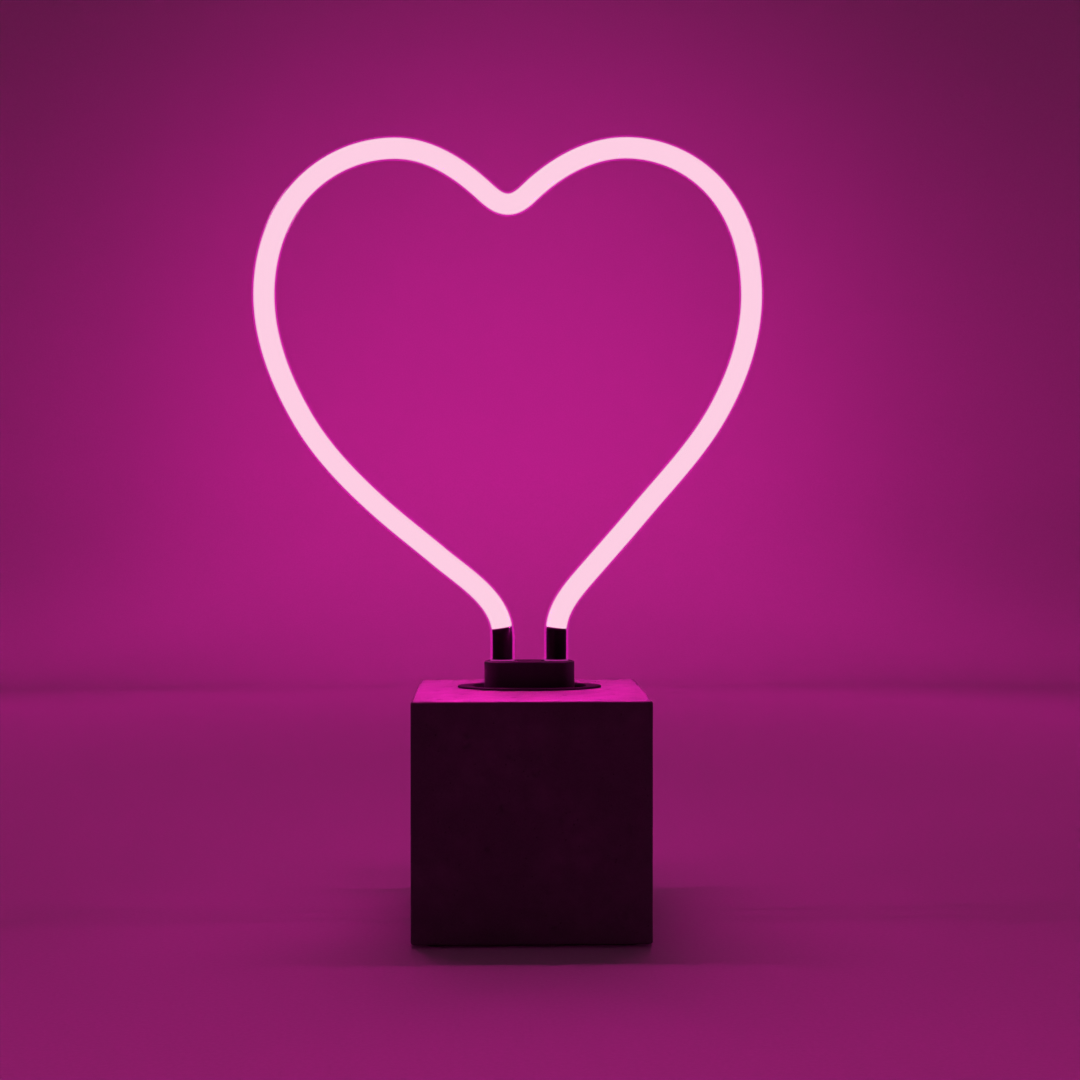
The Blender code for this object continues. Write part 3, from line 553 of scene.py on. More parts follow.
def heart_line(leg_start, step_angle=radians(2.5), step_length=2.2 * MM):
    """The tube's centre line in (x, z), from the left leg to the right leg."""
    line = [Vector((-LEG_X, leg_start + up)) for up in LEG_STEPS]
    for start, end in zip(HEART_KNOTS, HEART_KNOTS[1:]):
        first = Vector(start[:2]) * MM
        last = Vector(end[:2]) * MM
        heading = radians(start[2])
        next_heading = radians(end[2])
        chord = (last - first).length
        turn = next_heading - heading
        handle = handle_length(chord, turn)
        out = first + handle * Vector((cos(heading), sin(heading)))
        back = last - handle * Vector((cos(next_heading), sin(next_heading)))
        steps = max(2, ceil(abs(turn) / step_angle), ceil(chord / step_length))
        line += list(interpolate_bezier(first, out, back, last, steps + 1))[:-1]
    line.append(Vector(HEART_KNOTS[-1][:2]) * MM)
    line += [Vector((LEG_X, leg_start + up)) for up in reversed(LEG_STEPS)]
    return line


def point_along(line, distance):
    """The point at a distance along a line, and the part of the line beyond it."""
    for i, (start, end) in enumerate(zip(line, line[1:])):
        span = (end - start).length
        if distance < span:
            point = start.lerp(end, distance / span)
            return point, [point] + line[i + 1:]
        distance -= span
    return line[-1], [line[-1]]


def tube_rings(line, radii, sides=40):
    """Rings square to a line in the tube's plane, each with its own radius."""
    rings = []
    for i, (point, radius) in enumerate(zip(line, radii)):
        before = line[max(i - 1, 0)]
        after = line[min(i + 1, len(line) - 1)]
        along = (after - before).normalized()
        across = Vector((along.y, 0, -along.x))
        centre = Vector((point.x, SOCKET_Y, BLOCK_TOP + point.y))
        rings.append([centre + radius * (cos(a) * across + sin(a) * Vector((0, 1, 0)))
                      for a in (2 * pi * k / sides for k in range(sides))])
    return rings


TUBE_RADIUS = 4.5 * MM
TUBE_BORE = 4.1 * MM
FIRED_EDGE = 0.25 * MM
FIRED_FLARE = 0.05 * MM
LINING_RADIUS = 3.97 * MM
LINING_BORE = 3.84 * MM
LINING_START = 21.9 * MM
ELECTRODE_RADIUS = 3.74 * MM
ELECTRODE_BORE = 3.1 * MM
ELECTRODE_START = 5.7 * MM
ELECTRODE_END = 22.4 * MM
ELECTRODE_TIP = 0.3 * MM
DOME_DEPTH = 1.1 * MM
DOME_RADIUS = 0.9 * MM
TUBE_SMOOTH_ANGLE = 60


def with_ends(middle, end, count):
    return [end] + [middle] * (count - 2) + [end]


def trim(line, length):
    """A line without a length at each end."""
    return point_along(point_along(line, length)[1][::-1], length)[1][::-1]


def make_tube(materials):
    line = heart_line(tube_low.z - BLOCK_TOP)
    fired = Vector((0, FIRED_EDGE))
    glass_line = [line[0], line[0] + fired] + line[2:-2] + [line[-1] + fired, line[-1]]
    count = len(line)
    outside = tube_rings(glass_line, with_ends(TUBE_RADIUS, TUBE_RADIUS - FIRED_EDGE, count))
    inside = tube_rings(glass_line, with_ends(TUBE_BORE, TUBE_BORE + FIRED_FLARE, count))
    glass = add("glass_tube", skin(outside + inside[::-1], closed=True), materials["tube_glass"],
                smooth_angle=TUBE_SMOOTH_ANGLE)
    finished(glass, "head", "tube_glass", "neon_tube")

    trimmed = trim(line, LINING_START)
    outer = tube_rings(trimmed, [LINING_RADIUS] * len(trimmed))
    inner = tube_rings(trimmed, [LINING_BORE] * len(trimmed))
    lining = add("glowing_lining", skin(outer + inner[::-1], closed=True), materials["neon_glow"],
                 smooth_angle=TUBE_SMOOTH_ANGLE)
    lining.visible_shadow = False
    finished(lining, "head", "neon_glow", "phosphor_lining")

    for side, path in (("left", line), ("right", line[::-1])):
        shell = add("electrode_" + side, electrode_shell(path), materials["electrode_black"])
        finished(shell, "head", "electrode_black", "electrode_shell_" + side)


def electrode_shell(line):
    """A thin cup with a domed end, following the foot of the tube."""
    shoulder = ELECTRODE_END - DOME_DEPTH
    steps = [ELECTRODE_START + (shoulder - ELECTRODE_START) * i / 9 for i in range(10)]
    outside = [(distance, ELECTRODE_RADIUS) for distance in steps]
    outside += [(shoulder + DOME_RADIUS * sin(a), ELECTRODE_RADIUS - DOME_RADIUS * (1 - cos(a)))
                for a in arc_angles(0, pi / 2, 7)[1:]]
    outside.append((ELECTRODE_END, ELECTRODE_TIP))
    inside = [(distance, ELECTRODE_BORE) for distance in steps[:-1]]
    inside += [(ELECTRODE_END - 1.2 * MM, 2.4 * MM), (ELECTRODE_END - 0.6 * MM, ELECTRODE_TIP)]
    rings = []
    for profile in (outside, inside):
        points = [point_along(line, distance)[0] for distance, radius in profile]
        rings.append(tube_rings(points, [radius for distance, radius in profile]))
    return skin(rings[0] + rings[1][::-1], closed=True)


# The plug

PLUG_LENGTH = 34.2 * MM
PLUG_WIDTH = 14.0 * MM
PLUG_TOP = 10.0 * MM
PLUG_TOP_EDGE = 0.45 * MM
PLUG_FOOT_EDGE = 0.4 * MM
PLUG_RECESS = (30.6 * MM, 10.6 * MM)
PLUG_FLOOR = (30 * MM, 10 * MM)
PLUG_FLOOR_EDGE = 0.25 * MM
PLUG_BASE_TOP = 0.3 * MM
LEG_BORE = 4.8 * MM
GROMMET_RADIUS = 5.7 * MM
GROMMET_LIP = 4.75 * MM
GROMMET_BOTTOM = 8.8 * MM
GROMMET_TOP = 10.3 * MM
GROMMET_SEAT = 8.5 * MM
GROMMET_SEAT_RADIUS = 6.0 * MM
PIN_RADIUS = 1.1 * MM
PIN_HEAD_RADIUS = 1.8 * MM
PIN_HOLE = 1.4 * MM
PLUG_SCREW_Y = 2.5 * MM
PLUG_SCREW_HOLE = 1.3 * MM
PLUG_SCREW_HEAD_HOLE = 2.2 * MM
PLUG_SCREW_DEPTH = 7.5 * MM
# Head radius, head height, shank radius and length
PLUG_SCREW = (1.9 * MM, 0.9 * MM, 1.0 * MM, 9.4 * MM)


def make_plug(materials):
    plastic = materials["black_plastic"]
    bottom = plug_low.z - BLOCK_TOP
    inset = [(PLUG_FOOT_EDGE * (1 - sin(a)), bottom + PLUG_FOOT_EDGE * (1 - cos(a)))
             for a in arc_angles(0, pi / 2, 4)]
    inset += [(PLUG_TOP_EDGE * (1 - cos(a)), PLUG_TOP - PLUG_TOP_EDGE + PLUG_TOP_EDGE * sin(a))
              for a in arc_angles(0, pi / 2, 7)]
    rings = [level(obround(PLUG_LENGTH - 2 * i, PLUG_WIDTH - 2 * i), z) for i, z in inset]
    centre = at(0, SOCKET_Y, BLOCK_TOP)
    block = add("plug_body", skin(rings), plastic, centre)
    cut(block, (prism(obround(*PLUG_RECESS), bottom - MM, PLUG_BASE_TOP + GAP), centre))
    legs = [at(x, SOCKET_Y, BLOCK_TOP) for x in (-LEG_X, LEG_X)]
    screws = [at(0, SOCKET_Y + y, BLOCK_TOP) for y in (-PLUG_SCREW_Y, PLUG_SCREW_Y)]
    leg_bore = [(LEG_BORE, PLUG_BASE_TOP), (LEG_BORE, GROMMET_SEAT),
                (GROMMET_SEAT_RADIUS, GROMMET_SEAT), (GROMMET_SEAT_RADIUS, PLUG_TOP + MM)]
    for leg in legs:
        cut(block, (turned(leg_bore), leg))
    screw_bore = [(PLUG_SCREW_HOLE, PLUG_BASE_TOP), (PLUG_SCREW_HOLE, PLUG_SCREW_DEPTH)]
    for place in screws:
        cut(block, (turned(screw_bore, count=24), place))
    finished(block, "head", "black_plastic", "plug_block")

    length, width = PLUG_FLOOR
    floor_rings = [level(obround(length - 2 * i, width - 2 * i), z) for i, z in
                   ((PLUG_FLOOR_EDGE, bottom), (0, bottom + PLUG_FLOOR_EDGE), (0, PLUG_BASE_TOP))]
    floor = add("plug_floor", skin(floor_rings), plastic, centre)
    pin_hole = [(PIN_HOLE, bottom - MM), (PIN_HOLE, PLUG_BASE_TOP + MM)]
    head_seat = bottom + 1.5 * MM
    screw_hole = [(PLUG_SCREW_HEAD_HOLE, bottom - MM), (PLUG_SCREW_HEAD_HOLE, head_seat),
                  (PLUG_SCREW_HOLE, head_seat), (PLUG_SCREW_HOLE, PLUG_BASE_TOP + MM)]
    for leg in legs:
        cut(floor, (turned(pin_hole, count=32), leg))
    for place in screws:
        cut(floor, (turned(screw_hole, count=32), place))
    finished(floor, "head", "black_plastic", "plug_base")

    pin_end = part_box("contact_pin_left")[0].z - BLOCK_TOP
    pin = [(PIN_RADIUS * sin(a), pin_end + PIN_RADIUS * (1 - cos(a)))
           for a in arc_angles(0.12, pi / 2, 8)]
    pin += [(PIN_RADIUS, PLUG_BASE_TOP + 0.2 * MM), (PIN_HEAD_RADIUS, PLUG_BASE_TOP + 0.2 * MM),
            (PIN_HEAD_RADIUS, PLUG_BASE_TOP + 0.5 * MM)]
    outer_edge = 0.35 * MM
    inner_edge = 0.25 * MM
    ring = [(GROMMET_LIP, GROMMET_BOTTOM), (GROMMET_RADIUS, GROMMET_BOTTOM)]
    ring += rounded_corner(GROMMET_RADIUS - outer_edge, GROMMET_TOP - outer_edge, outer_edge,
                           0, pi / 2)
    ring += rounded_corner(GROMMET_LIP + inner_edge, GROMMET_TOP - inner_edge, inner_edge,
                           pi / 2, pi)
    for side, leg in zip(("left", "right"), legs):
        piece = add("pin_" + side, turned(pin, count=40), materials["brass"], leg)
        finished(piece, "head", "brass", "contact_pin_" + side)
        piece = add("grommet_" + side, turned(ring, closed=True), materials["black_rubber"], leg)
        finished(piece, "head", "black_rubber", "tube_grommet_" + side)
    for side, place in zip(("front", "rear"), screws):
        piece = screw("small_screw_" + side, *PLUG_SCREW, materials["zinc_steel"],
                      place @ at(0, 0, bottom + 0.3 * MM))
        finished(piece, "head", "zinc_steel", "plug_screw_" + side)


def screw(name, head, head_height, shank, length, material, place):
    """A pan-head screw with its head below, a cross recess and a threaded shank."""
    edge = 0.3 * head_height
    profile = [(0.25 * head, 0.0), (0.75 * head, 0.0)]
    profile += rounded_corner(head - edge, edge, edge, -pi / 2, 0)
    profile += [(head, head_height), (shank, head_height)]
    pitch = 0.5 * MM
    turns = int((length - head_height - 1.2 * MM) / pitch)
    z = head_height + 0.4 * MM
    for i in range(turns):
        profile += [(shank, z), (0.78 * shank, z + 0.5 * pitch)]
        z += pitch
    profile += [(shank, z), (0.3 * shank, length)]
    piece = add(name, turned(profile, count=32), material, place)
    arms = 1.24 * head
    thickness = 0.2 * head
    depth = 0.6 * head_height
    for size in ((arms, thickness), (thickness, arms)):
        cut(piece, (prism(rectangle(*size, 0.05 * MM, 2), -MM, depth), place))
    return piece


# The socket

SOCKET_BODY = (46 * MM, 23 * MM)
SOCKET_WELL = (43 * MM, 20 * MM)
WELL_FLOOR = -3 * MM
FLANGE_BOTTOM = 0.1 * MM
FLANGE_EDGE = 0.35 * MM
CONTACT_HOLE = 2.5 * MM
CONTACT_HOLE_MOUTH = 2.9 * MM
MOUTH_BOTTOM = -3.3 * MM
MOUTH_TOP = -2.9 * MM
# The contact's tube, from its tail to its mouth, as (radius, height above the cube)
CONTACT_PROFILE = (
    (1.0 * MM, -19.0 * MM), (1.0 * MM, -15.0 * MM), (2.2 * MM, -15.0 * MM), (2.2 * MM, -3.5 * MM),
    (2.0 * MM, -3.3 * MM), (1.6 * MM, -3.3 * MM), (1.4 * MM, -3.6 * MM), (1.4 * MM, -13.0 * MM),
)


def make_socket(materials):
    plastic = materials["socket_plastic"]
    centre = at(0, SOCKET_Y, BLOCK_TOP)
    depth = BLOCK_TOP - socket_low.z
    top = socket_high.z - BLOCK_TOP
    length = socket_high.x - socket_low.x
    width = socket_high.y - socket_low.y
    well_length, well_width = SOCKET_WELL
    rings = [level(obround(*SOCKET_BODY), -depth), level(obround(*SOCKET_BODY), FLANGE_BOTTOM),
             level(oval(length, width), FLANGE_BOTTOM)]
    for a in arc_angles(0, pi / 2, 5):
        inset = 2 * FLANGE_EDGE * (1 - cos(a))
        height = top - FLANGE_EDGE + FLANGE_EDGE * sin(a)
        rings.append(level(oval(length - inset, width - inset), height))
    for a in arc_angles(0, pi / 2, 4):
        inset = 2 * FLANGE_EDGE * (1 - sin(a))
        height = top - FLANGE_EDGE + FLANGE_EDGE * cos(a)
        rings.append(level(obround(well_length + inset, well_width + inset), height))
    rings.append(level(obround(*SOCKET_WELL), WELL_FLOOR))
    socket = add("socket_moulding", skin(rings), plastic, centre)
    hole = [(CONTACT_HOLE, -depth - MM), (CONTACT_HOLE, MOUTH_BOTTOM),
            (CONTACT_HOLE_MOUTH, MOUTH_TOP), (CONTACT_HOLE_MOUTH, WELL_FLOOR + MM)]
    places = [at(x, SOCKET_Y, BLOCK_TOP) for x in (-LEG_X, LEG_X)]
    for place in places:
        cut(socket, (turned(hole, count=40), place))
    finished(socket, "base", "black_plastic", "socket")
    for side, place in zip(("left", "right"), places):
        piece = add("contact_" + side, turned(CONTACT_PROFILE, count=40), materials["brass"], place)
        finished(piece, "base", "brass", "socket_contact_" + side)


# The cube

FACE_CELLS = 120
EDGE_RADIUS = 0.9 * MM
EDGE_DRIFT = 0.25
DRIFT_SCALE = 55
CHIP_SCALE = 210
CHIP_ABOVE = 0.42
CHIP_SIZE = 3.2 * MM
SWELL_SCALE = 45
SWELL_DEPTH = 0.10 * MM
PIT_SEED = 11
PIT_COUNT = 34
PIT_SPREAD = 0.93
CUBE_SMOOTH_ANGLE = 50
ROOF = 12 * MM
CAVITY_HALF = 34 * MM
CAVITY_FLAT = 20 * MM
SOCKET_OPENING = (46.6 * MM, 23.6 * MM)
WALL = 9.5 * MM
INLET_HOLE = 4.2 * MM
INLET_SEAT = 6.5 * MM
INLET_SEAT_DEPTH = 2.2 * MM
SWITCH_HOLE = (13.4 * MM, 19.4 * MM, 0.4 * MM)
SWITCH_SEAT = (16.2 * MM, 22.2 * MM, 1.5 * MM)
SWITCH_SEAT_DEPTH = 1.8 * MM
INSERT_HOLE = 3.1 * MM
INSERT_DEPTH = 8.6 * MM


def make_concrete(materials):
    """The cast cube: softly uneven faces, worn edges, air pits, and every opening cut."""
    mesh = bmesh.new()
    bmesh.ops.create_cube(mesh, size=1.0)
    bmesh.ops.subdivide_edges(mesh, edges=mesh.edges, cuts=FACE_CELLS - 1, use_grid_fill=True)
    points = np.array([vertex.co[:] for vertex in mesh.verts])
    shaped = worn_cube(points)
    for vertex, place in zip(mesh.verts, shaped):
        vertex.co = place
    cube = add("cast_cube", mesh, materials["cast_concrete"], smooth_angle=CUBE_SMOOTH_ANGLE)
    below = BLOCK_BOTTOM - MM
    cavity_bottom = cover_high.z + GAP
    cavity_top = BLOCK_TOP - ROOF
    rebate = cover_high.x - cover_low.x + 2 * GAP
    half, flat = CAVITY_HALF, CAVITY_FLAT
    cavity = [(half, -flat), (half, flat), (flat, half), (-flat, half),
              (-half, flat), (-half, -flat), (-flat, -half), (flat, -half)]
    inlet_hole = [(INLET_HOLE, -WALL), (INLET_HOLE, -INLET_SEAT_DEPTH),
                  (INLET_SEAT, -INLET_SEAT_DEPTH), (INLET_SEAT, MM)]
    inlet = at(*INLET) @ BACKWARDS
    switch = at(*SWITCH) @ BACKWARDS
    cutters = [
        (prism(rectangle(rebate, rebate, 2 * MM), below, cavity_bottom), None),
        (prism(cavity, BLOCK_BOTTOM, cavity_top), None),
        (prism(obround(*SOCKET_OPENING), cavity_top - MM, BLOCK_TOP + MM), at(0, SOCKET_Y, 0)),
        (turned(inlet_hole), inlet),
        (prism(rectangle(*SWITCH_HOLE), -WALL, MM), switch),
        (prism(rectangle(*SWITCH_SEAT), -SWITCH_SEAT_DEPTH, MM), switch),
    ]
    for name, x, y in corners():
        hole = prism(circle(INSERT_HOLE, 32), BLOCK_BOTTOM, cavity_bottom + INSERT_DEPTH)
        cutters.append((hole, at(x, y, 0)))
    cut(cube, *cutters, solver="MANIFOLD")
    cube.data.set_sharp_from_angle(angle=radians(CUBE_SMOOTH_ANGLE))
    finished(cube, "base", "cast_concrete", "concrete_block")


def worn_cube(points):
    """Moves a unit cube's surface points to a cast cube's, with worn edges, chips and pits."""
    size = np.array([CUBE, CUBE, BLOCK_TOP - BLOCK_BOTTOM])
    half = size / 2
    centre = np.array([0.0, 0.0, BLOCK_BOTTOM + half[2]])
    flat = points * size
    radii = np.array([edge_radius(Vector(p)) for p in flat])[:, None]
    core = np.clip(flat, -(half - radii), half - radii)
    away = flat - core
    length = np.linalg.norm(away, axis=1, keepdims=True)
    direction = away / np.maximum(length, 1e-9)
    surface = core + direction * radii
    depth = np.zeros(len(points))
    chance = Random(PIT_SEED)
    for axis in range(3):
        for sign in (-1, 1):
            for place, radius, deep in pits(chance, axis, sign, half):
                distance = np.linalg.norm(flat - place, axis=1) / radius
                depth = np.maximum(depth, deep * np.clip(1 - distance ** 2, 0, 1) ** 0.7)
    swell = np.array([0.5 + 0.5 * noise.noise(Vector(p) * SWELL_SCALE) for p in flat])
    surface -= direction * (depth + swell * SWELL_DEPTH)[:, None]
    return surface + centre


def edge_radius(point):
    """Cast edges are rounded by hand, more in some places, with a few chips."""
    drift = noise.noise(point * DRIFT_SCALE + Vector((3.1, 0.7, 5.3)))
    chip = noise.noise(point * CHIP_SCALE + Vector((9.4, 2.2, 1.6)))
    return EDGE_RADIUS * (1.0 + EDGE_DRIFT * drift) + max(0.0, chip - CHIP_ABOVE) * CHIP_SIZE


def pits(chance, axis, sign, half):
    """Air pits on one face: many small ones and a few large."""
    found = []
    for _ in range(PIT_COUNT):
        place = np.zeros(3)
        place[axis] = sign * half[axis]
        for other in range(3):
            if other != axis:
                place[other] = chance.uniform(-PIT_SPREAD, PIT_SPREAD) * half[other]
        radius = (0.75 + 0.9 * chance.random() ** 3) * MM
        found.append((place, radius, radius * chance.uniform(0.35, 0.6)))
    return found


def corners():
    """The four cover screws' names and places."""
    return [(f"{row}_{side}", x * SCREW_SPACING, y * SCREW_SPACING)
            for row, y in (("front", -1), ("rear", 1)) for side, x in (("left", -1), ("right", 1))]


COVER_CORNER = 1.8 * MM
COVER_EDGE = 0.3 * MM
PAD_CORNER = 5 * MM
PAD_EDGE = 0.25 * MM
COVER_SCREW = (2.6 * MM, 0.9 * MM, 1.1 * MM, 9.9 * MM)
HEAD_SEAT = 3.0 * MM
HEAD_SEAT_HEIGHT = 1.0 * MM
SHANK_HOLE = 1.4 * MM
PAD_HOLE = 4.2 * MM


def make_underside(materials):
    """The screwed cover and the soft pad, with edges rounded."""
    size = cover_high.x - cover_low.x
    rings = [level(rectangle(size - 2 * i, size - 2 * i, COVER_CORNER - i), z) for i, z in
             ((COVER_EDGE, cover_low.z), (0.3 * COVER_EDGE, cover_low.z + 0.3 * COVER_EDGE),
              (0, cover_low.z + COVER_EDGE), (0, cover_high.z - COVER_EDGE),
              (COVER_EDGE, cover_high.z))]
    cover = add("bottom_cover", skin(rings), materials["black_plastic"])
    pad_size = pad_high.x - pad_low.x
    rings = [level(rectangle(pad_size - 2 * i, pad_size - 2 * i, PAD_CORNER - i), z) for i, z in
             ((PAD_EDGE, 0.0), (0, PAD_EDGE), (0, pad_high.z - PAD_EDGE), (PAD_EDGE, pad_high.z))]
    pad = add("bottom_pad", skin(rings), materials["foam_pad"])
    head_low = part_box("cover_screw_front_left")[0].z
    seat_top = head_low + HEAD_SEAT_HEIGHT
    seat = [(HEAD_SEAT, cover_low.z - MM), (HEAD_SEAT, seat_top),
            (SHANK_HOLE, seat_top), (SHANK_HOLE, cover_high.z + MM)]
    for name, x, y in corners():
        place = at(x, y, 0)
        cut(cover, (turned(seat, count=40), place))
        cut(pad, (prism(circle(PAD_HOLE, 48), -MM, pad_high.z + MM), place))
        piece = screw("screw_" + name, *COVER_SCREW, materials["zinc_steel"], at(x, y, head_low))
        finished(piece, "base", "zinc_steel", "cover_screw_" + name)
    finished(cover, "base", "black_plastic", "base_cover")
    finished(pad, "base", "foam_pad", "base_pad")


# The back: inlet and switch

INLET_FACE_RADIUS = 6.0 * MM
INLET_FACE_DEPTH = 0.2 * MM
INLET_RIM = 0.4 * MM
# Radius and height in mm: the flange's back, the body, the bore up to its mouth, the face
INLET_PROFILE = ((6.0, -1.9), (3.9, -1.9), (3.9, -17), (1.25, -17), (1.25, -13), (2.8, -13),
                 (2.8, -0.7), (3.2, -0.25), (4.5, -0.25), (4.6, -0.35), (4.9, -0.35), (5.0, -0.2))
INLET_PIN_RADIUS = 0.9 * MM
INLET_PIN_TIP = -1.1 * MM
INLET_PIN_END = [(0.9 * MM, -19.5 * MM), (0.7 * MM, -20 * MM)]


def make_inlet(materials):
    place = at(*INLET) @ BACKWARDS
    body = rounded_corner(INLET_FACE_RADIUS - INLET_RIM, -INLET_FACE_DEPTH - INLET_RIM, INLET_RIM,
                          pi / 2, 0)
    body += [(radius * MM, height * MM) for radius, height in INLET_PROFILE]
    piece = add("inlet_body", turned(body, closed=True), materials["black_plastic"], place)
    finished(piece, "base", "black_plastic", "dc_inlet_body")
    nose = [(INLET_PIN_RADIUS * sin(a), INLET_PIN_TIP - INLET_PIN_RADIUS * (1 - cos(a)))
            for a in arc_angles(0.15, pi / 2, 7)]
    piece = add("inlet_pin", turned(nose + INLET_PIN_END, count=32), materials["brass"], place)
    finished(piece, "base", "brass", "dc_inlet_pin")


# Width, height and corner radius, as the switch is seen from behind
SWITCH_BODY = (12.8 * MM, 18.8 * MM, 0.6 * MM)
BEZEL_WIDTH = 15.6 * MM
BEZEL_HEIGHT = 21.6 * MM
BEZEL_CORNER = 1.4 * MM
BEZEL_RIM = 0.5 * MM
BEZEL_BACK = -1.6 * MM
BEZEL_FACE = -0.1 * MM
SWITCH_BACK = -15 * MM
# The pocket's growth all round at each level, from its floor to past its bevelled mouth
POCKET_LEVELS = ((0, -8.5 * MM), (0, -0.6 * MM), (0.5 * MM, -0.1 * MM), (1.0 * MM, 0.4 * MM))
POCKET_WIDTH = 9.4 * MM
POCKET_HEIGHT = 15.4 * MM
POCKET_CORNER = 0.3 * MM
PIVOT_DEPTH = 3.5 * MM
PIVOT_RADIUS = 0.95 * MM
PIVOT_HALF_LENGTH = 6.3 * MM
ROCKER_BORE_HALF = 6 * MM
TERMINAL_OFFSET = 5 * MM
TERMINAL_SLOT = (5.0 * MM, 1.4 * MM, 0.2 * MM)
TERMINAL_DEPTH = 4 * MM
ROCKER_TILT = radians(8)
MARK_OFFSET = 4.2 * MM
MARK_BACK = -0.3 * MM
MARK_FACE = 0.05 * MM
MARK_LINE = (0.7 * MM, 2.6 * MM, 0.2 * MM)
MARK_LOOP_INNER = 0.95 * MM
MARK_LOOP_OUTER = 1.45 * MM


def make_switch(materials):
    place = at(*SWITCH) @ BACKWARDS
    rings = [level(rectangle(*SWITCH_BODY), SWITCH_BACK),
             level(rectangle(*SWITCH_BODY), BEZEL_BACK),
             level(rectangle(BEZEL_WIDTH, BEZEL_HEIGHT, BEZEL_CORNER), BEZEL_BACK)]
    for a in arc_angles(0, pi / 2, 5):
        inset = BEZEL_RIM * (1 - cos(a))
        outline = rectangle(BEZEL_WIDTH - 2 * inset, BEZEL_HEIGHT - 2 * inset, BEZEL_CORNER - inset)
        rings.append(level(outline, BEZEL_FACE - BEZEL_RIM + BEZEL_RIM * sin(a)))
    housing = add("switch_bezel", skin(rings), materials["black_plastic"], place)
    pocket = []
    for grow, z in POCKET_LEVELS:
        outline = rectangle(POCKET_WIDTH + 2 * grow, POCKET_HEIGHT + 2 * grow, POCKET_CORNER + grow)
        pocket.append(level(outline, z))
    cut(housing, (skin(pocket), place))
    pivot = Vector((SWITCH.x, SWITCH.y - PIVOT_DEPTH, SWITCH.z))
    sideways = Matrix.Rotation(pi / 2, 4, "Y")
    bore = prism(circle(PIVOT_RADIUS, 24), -PIVOT_HALF_LENGTH, PIVOT_HALF_LENGTH)
    cut(housing, (bore, at(*pivot) @ sideways))
    for offset in (TERMINAL_OFFSET, -TERMINAL_OFFSET):
        slot = prism(rectangle(*TERMINAL_SLOT, 2), SWITCH_BACK - MM, SWITCH_BACK + TERMINAL_DEPTH)
        cut(housing, (slot, at(SWITCH.x, SWITCH.y, SWITCH.z + offset) @ BACKWARDS))
    finished(housing, "base", "black_plastic", "switch_housing")

    tilt = at(*pivot) @ Matrix.Rotation(ROCKER_TILT, 4, "X")
    rocker = add("rocker", rocker_mesh(), materials["rocker_plastic"], tilt)
    bore = prism(circle(PIVOT_RADIUS, 24), -ROCKER_BORE_HALF, ROCKER_BORE_HALF)
    cut(rocker, (bore, at(*pivot) @ sideways))
    finished(rocker, "rocker", "rocker_plastic", "switch_rocker")
    line = skin([level(rectangle(*MARK_LINE, 3), z) for z in (MARK_BACK, MARK_FACE)])
    loop = turned([(MARK_LOOP_INNER, MARK_BACK), (MARK_LOOP_OUTER, MARK_BACK),
                   (MARK_LOOP_OUTER, MARK_FACE), (MARK_LOOP_INNER, MARK_FACE)],
                  closed=True, count=40)
    for name, mark, height in (("mark_on", line, MARK_OFFSET), ("mark_off", loop, -MARK_OFFSET)):
        slope, out = rocker_face(height)
        seat = tilt @ at(0, out, height) @ Matrix.Rotation(-slope, 4, "X") @ BACKWARDS
        piece = add(name, mark, materials["mark_white"], seat)
        finished(piece, "rocker", "rocker_plastic")


ROCKER_HALF = 7.2 * MM
ROCKER_HALF_WIDTH = 4.4 * MM
ROCKER_RISE = 1.9 * MM
ROCKER_MIDDLE = 3.3 * MM
ROCKER_RIM = 0.5 * MM
ROCKER_STEPS = 40
# Its back, from the top end to the bottom end: distance out from the pivot and height
ROCKER_BACK = [(-1.0 * MM, ROCKER_HALF - 0.4 * MM), (-2.6 * MM, 2.0 * MM), (-2.6 * MM, -2.0 * MM),
               (-1.0 * MM, -ROCKER_HALF + 0.4 * MM)]


def rocker_face(z):
    """The rocker face's slope and its distance out from the pivot, at a height above the pivot."""
    angle = z / ROCKER_HALF * ROCKER_TILT
    curve = ROCKER_RISE / (1 - cos(ROCKER_TILT))
    slope = curve * sin(angle) * ROCKER_TILT / ROCKER_HALF
    return slope, ROCKER_MIDDLE + curve * (1 - cos(angle))


def rocker_mesh():
    """The rocker lofted across its width, with rounded long edges."""
    rim = ROCKER_RIM
    steps = [(ROCKER_HALF_WIDTH - rim + rim * sin(a), rim * (1 - cos(a)))
             for a in arc_angles(0, pi / 2, 5)]
    sections = [(-x, inset) for x, inset in reversed(steps)] + steps
    rings = []
    for x, inset in sections:
        outline = []
        for i in range(ROCKER_STEPS + 1):
            z = -ROCKER_HALF + inset + 2 * (ROCKER_HALF - inset) * i / ROCKER_STEPS
            out = rocker_face(z)[1] - inset
            corner = max(0.0, abs(z) - (ROCKER_HALF - inset - rim))
            out -= rim - (max(rim ** 2 - corner ** 2, 0.0)) ** 0.5
            outline.append((out, z))
        rings.append([Vector((x, out, z)) for out, z in outline + ROCKER_BACK])
    return skin(rings)


def dress_inner_pieces(materials):
    """The CAD's own inner pieces keep their shapes and get their finishes."""
    slots = {entry["node"]: entry["material_slot"] for entry in frame["record"]["subparts"]}
    for name, node in frame["nodes"].items():
        node.data.materials.clear()
        node.data.materials.append(materials[slots[name]])


# The studio

ROOM_HALF = 1.1
ROOM_CORNER = 0.7
ROOM_COVE = 0.2
ROOM_HEIGHT = 0.85
FLOOR_RING = 0.4  # from the cove's foot to the ring of faces inside it
FLOOR_MIDDLE = 0.02  # half the width of the face in the middle
PAPER_COLOURS = ((0.74, 0.73, 0.74), (0.80, 0.79, 0.80))
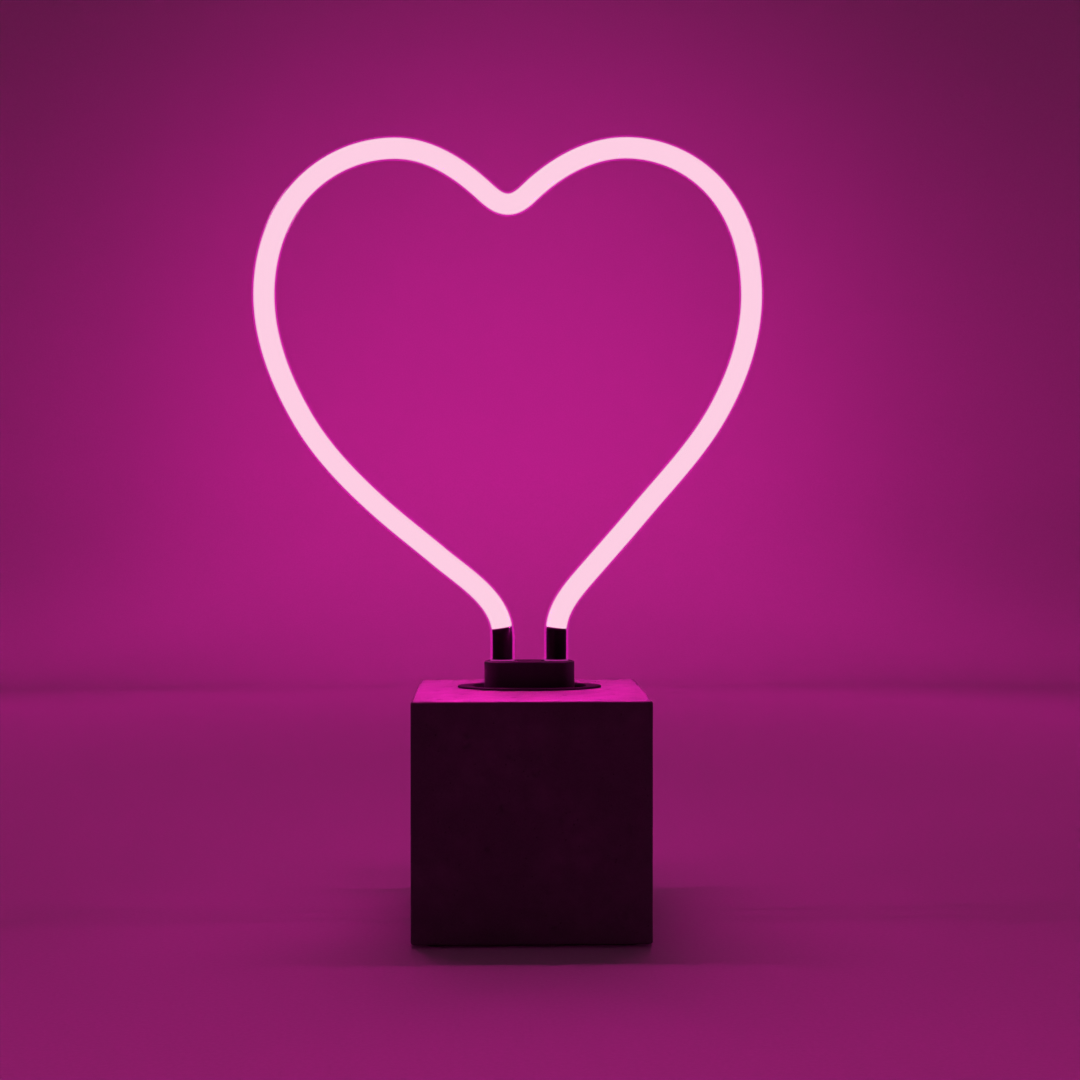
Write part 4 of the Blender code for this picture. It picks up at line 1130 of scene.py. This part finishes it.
# Name, place, size, power, and whether it shines on the lamp only
STUDIO_LIGHTS = (("light_above", (0.0, 0.1, 1.5), 1.0, 0.15, False),
                 ("light_left", (-1.0, 0.75, 0.75), 0.6, 3.0, True),
                 ("light_right", (1.1, 0.55, 0.60), 0.6, 2.2, True),
                 ("light_front", (-0.7, -1.2, 0.80), 0.8, 0.3, True))
LIGHT_COLOUR = (1.0, 0.98, 0.99)
LIGHT_AIM = Vector((0, 0, 0.12))
WORLD_COLOUR = (0.95, 0.94, 0.96, 1.0)
WORLD_STRENGTH = 0.006


def paper():
    """A pale floor with a faint fibrous grain."""
    tree = Tree("pale_paper")
    fibres = tree.noise(700, 4, 0.6)
    tree.set(Base_Color=tree.mix(tree.range(fibres, 0.3, 0.7), *PAPER_COLOURS),
             Roughness=0.8, Normal=tree.bump(fibres, 0.00005, 0.4))
    return tree.material


def make_sweep():
    """The floor, which turns up into a wall on all sides. Each outline is an inset and a height."""
    outlines = [(ROOM_HALF - FLOOR_MIDDLE, 0.0), (ROOM_COVE + FLOOR_RING, 0.0)]
    outlines += [(ROOM_COVE * (1 - sin(a)), ROOM_COVE * (1 - cos(a)))
                 for a in arc_angles(0, pi / 2, 16)]
    outlines.append((0.0, ROOM_HEIGHT))
    mesh = bmesh.new()
    loops = []
    for inset, z in outlines:
        side = 2 * (ROOM_HALF - inset)
        corner = side / 2 * ROOM_CORNER / ROOM_HALF
        outline = rectangle(side, side, corner, 12)
        loops.append([mesh.verts.new(point) for point in level(outline, z)])
    mesh.faces.new(loops[0])
    count = len(loops[0])
    for inner, outer in zip(loops, loops[1:]):
        for i in range(count):
            j = (i + 1) % count
            mesh.faces.new((inner[i], outer[i], outer[j], inner[j]))
    sweep = add("studio_sweep", mesh, paper(), smooth_angle=60)
    return sweep


def make_studio():
    """A pale sweep all round, with the soft lights above its rim."""
    sweep = make_sweep()
    lamp_pieces = bpy.data.collections.new("lamp_pieces")
    for piece in bpy.context.scene.objects:
        if piece.type == "MESH" and piece is not sweep:
            lamp_pieces.objects.link(piece)
    for name, place, size, power, only_lamp in STUDIO_LIGHTS:
        lamp = bpy.data.lights.new(name, "AREA")
        lamp.shape = "DISK"
        lamp.size = size
        lamp.energy = power
        lamp.color = LIGHT_COLOUR
        light = bpy.data.objects.new(name, lamp)
        light.location = place
        light.visible_camera = False
        light.rotation_euler = (LIGHT_AIM - Vector(place)).to_track_quat("-Z", "Y").to_euler()
        bpy.context.scene.collection.objects.link(light)
        if only_lamp:
            light.light_linking.receiver_collection = lamp_pieces

    world = bpy.data.worlds.new("studio")
    world.use_nodes = True
    background = world.node_tree.nodes["Background"]
    background.inputs["Color"].default_value = WORLD_COLOUR
    background.inputs["Strength"].default_value = WORLD_STRENGTH
    bpy.context.scene.world = world
    bpy.context.scene.view_settings.view_transform = "Standard"


CAMERA_LENS = 57.7
CAMERA_SENSOR = 36.0
CAMERA_X = -0.0111
CAMERA_DISTANCE = 0.604  # from the cube's front
CAMERA_RISE = 0.0642  # above the cube's top
CAMERA_DOWN = 0.73
CAMERA_RIGHT = 1.32


def make_camera():
    """Level with the plug, a little left of the cube's middle, turned slightly right and down."""
    data = bpy.data.cameras.new("camera")
    data.lens = CAMERA_LENS
    data.sensor_width = CAMERA_SENSOR
    camera = bpy.data.objects.new("camera", data)
    camera.location = (CAMERA_X, -CUBE / 2 - CAMERA_DISTANCE, BLOCK_TOP + CAMERA_RISE)
    camera.rotation_euler = (radians(90 - CAMERA_DOWN), 0, radians(-CAMERA_RIGHT))
    bpy.context.scene.collection.objects.link(camera)
    bpy.context.scene.camera = camera


def main():
    make_camera()
    materials = make_materials()
    dress_inner_pieces(materials)
    make_tube(materials)
    make_plug(materials)
    make_socket(materials)
    make_concrete(materials)
    make_underside(materials)
    make_inlet(materials)
    make_switch(materials)
    make_studio()


main()
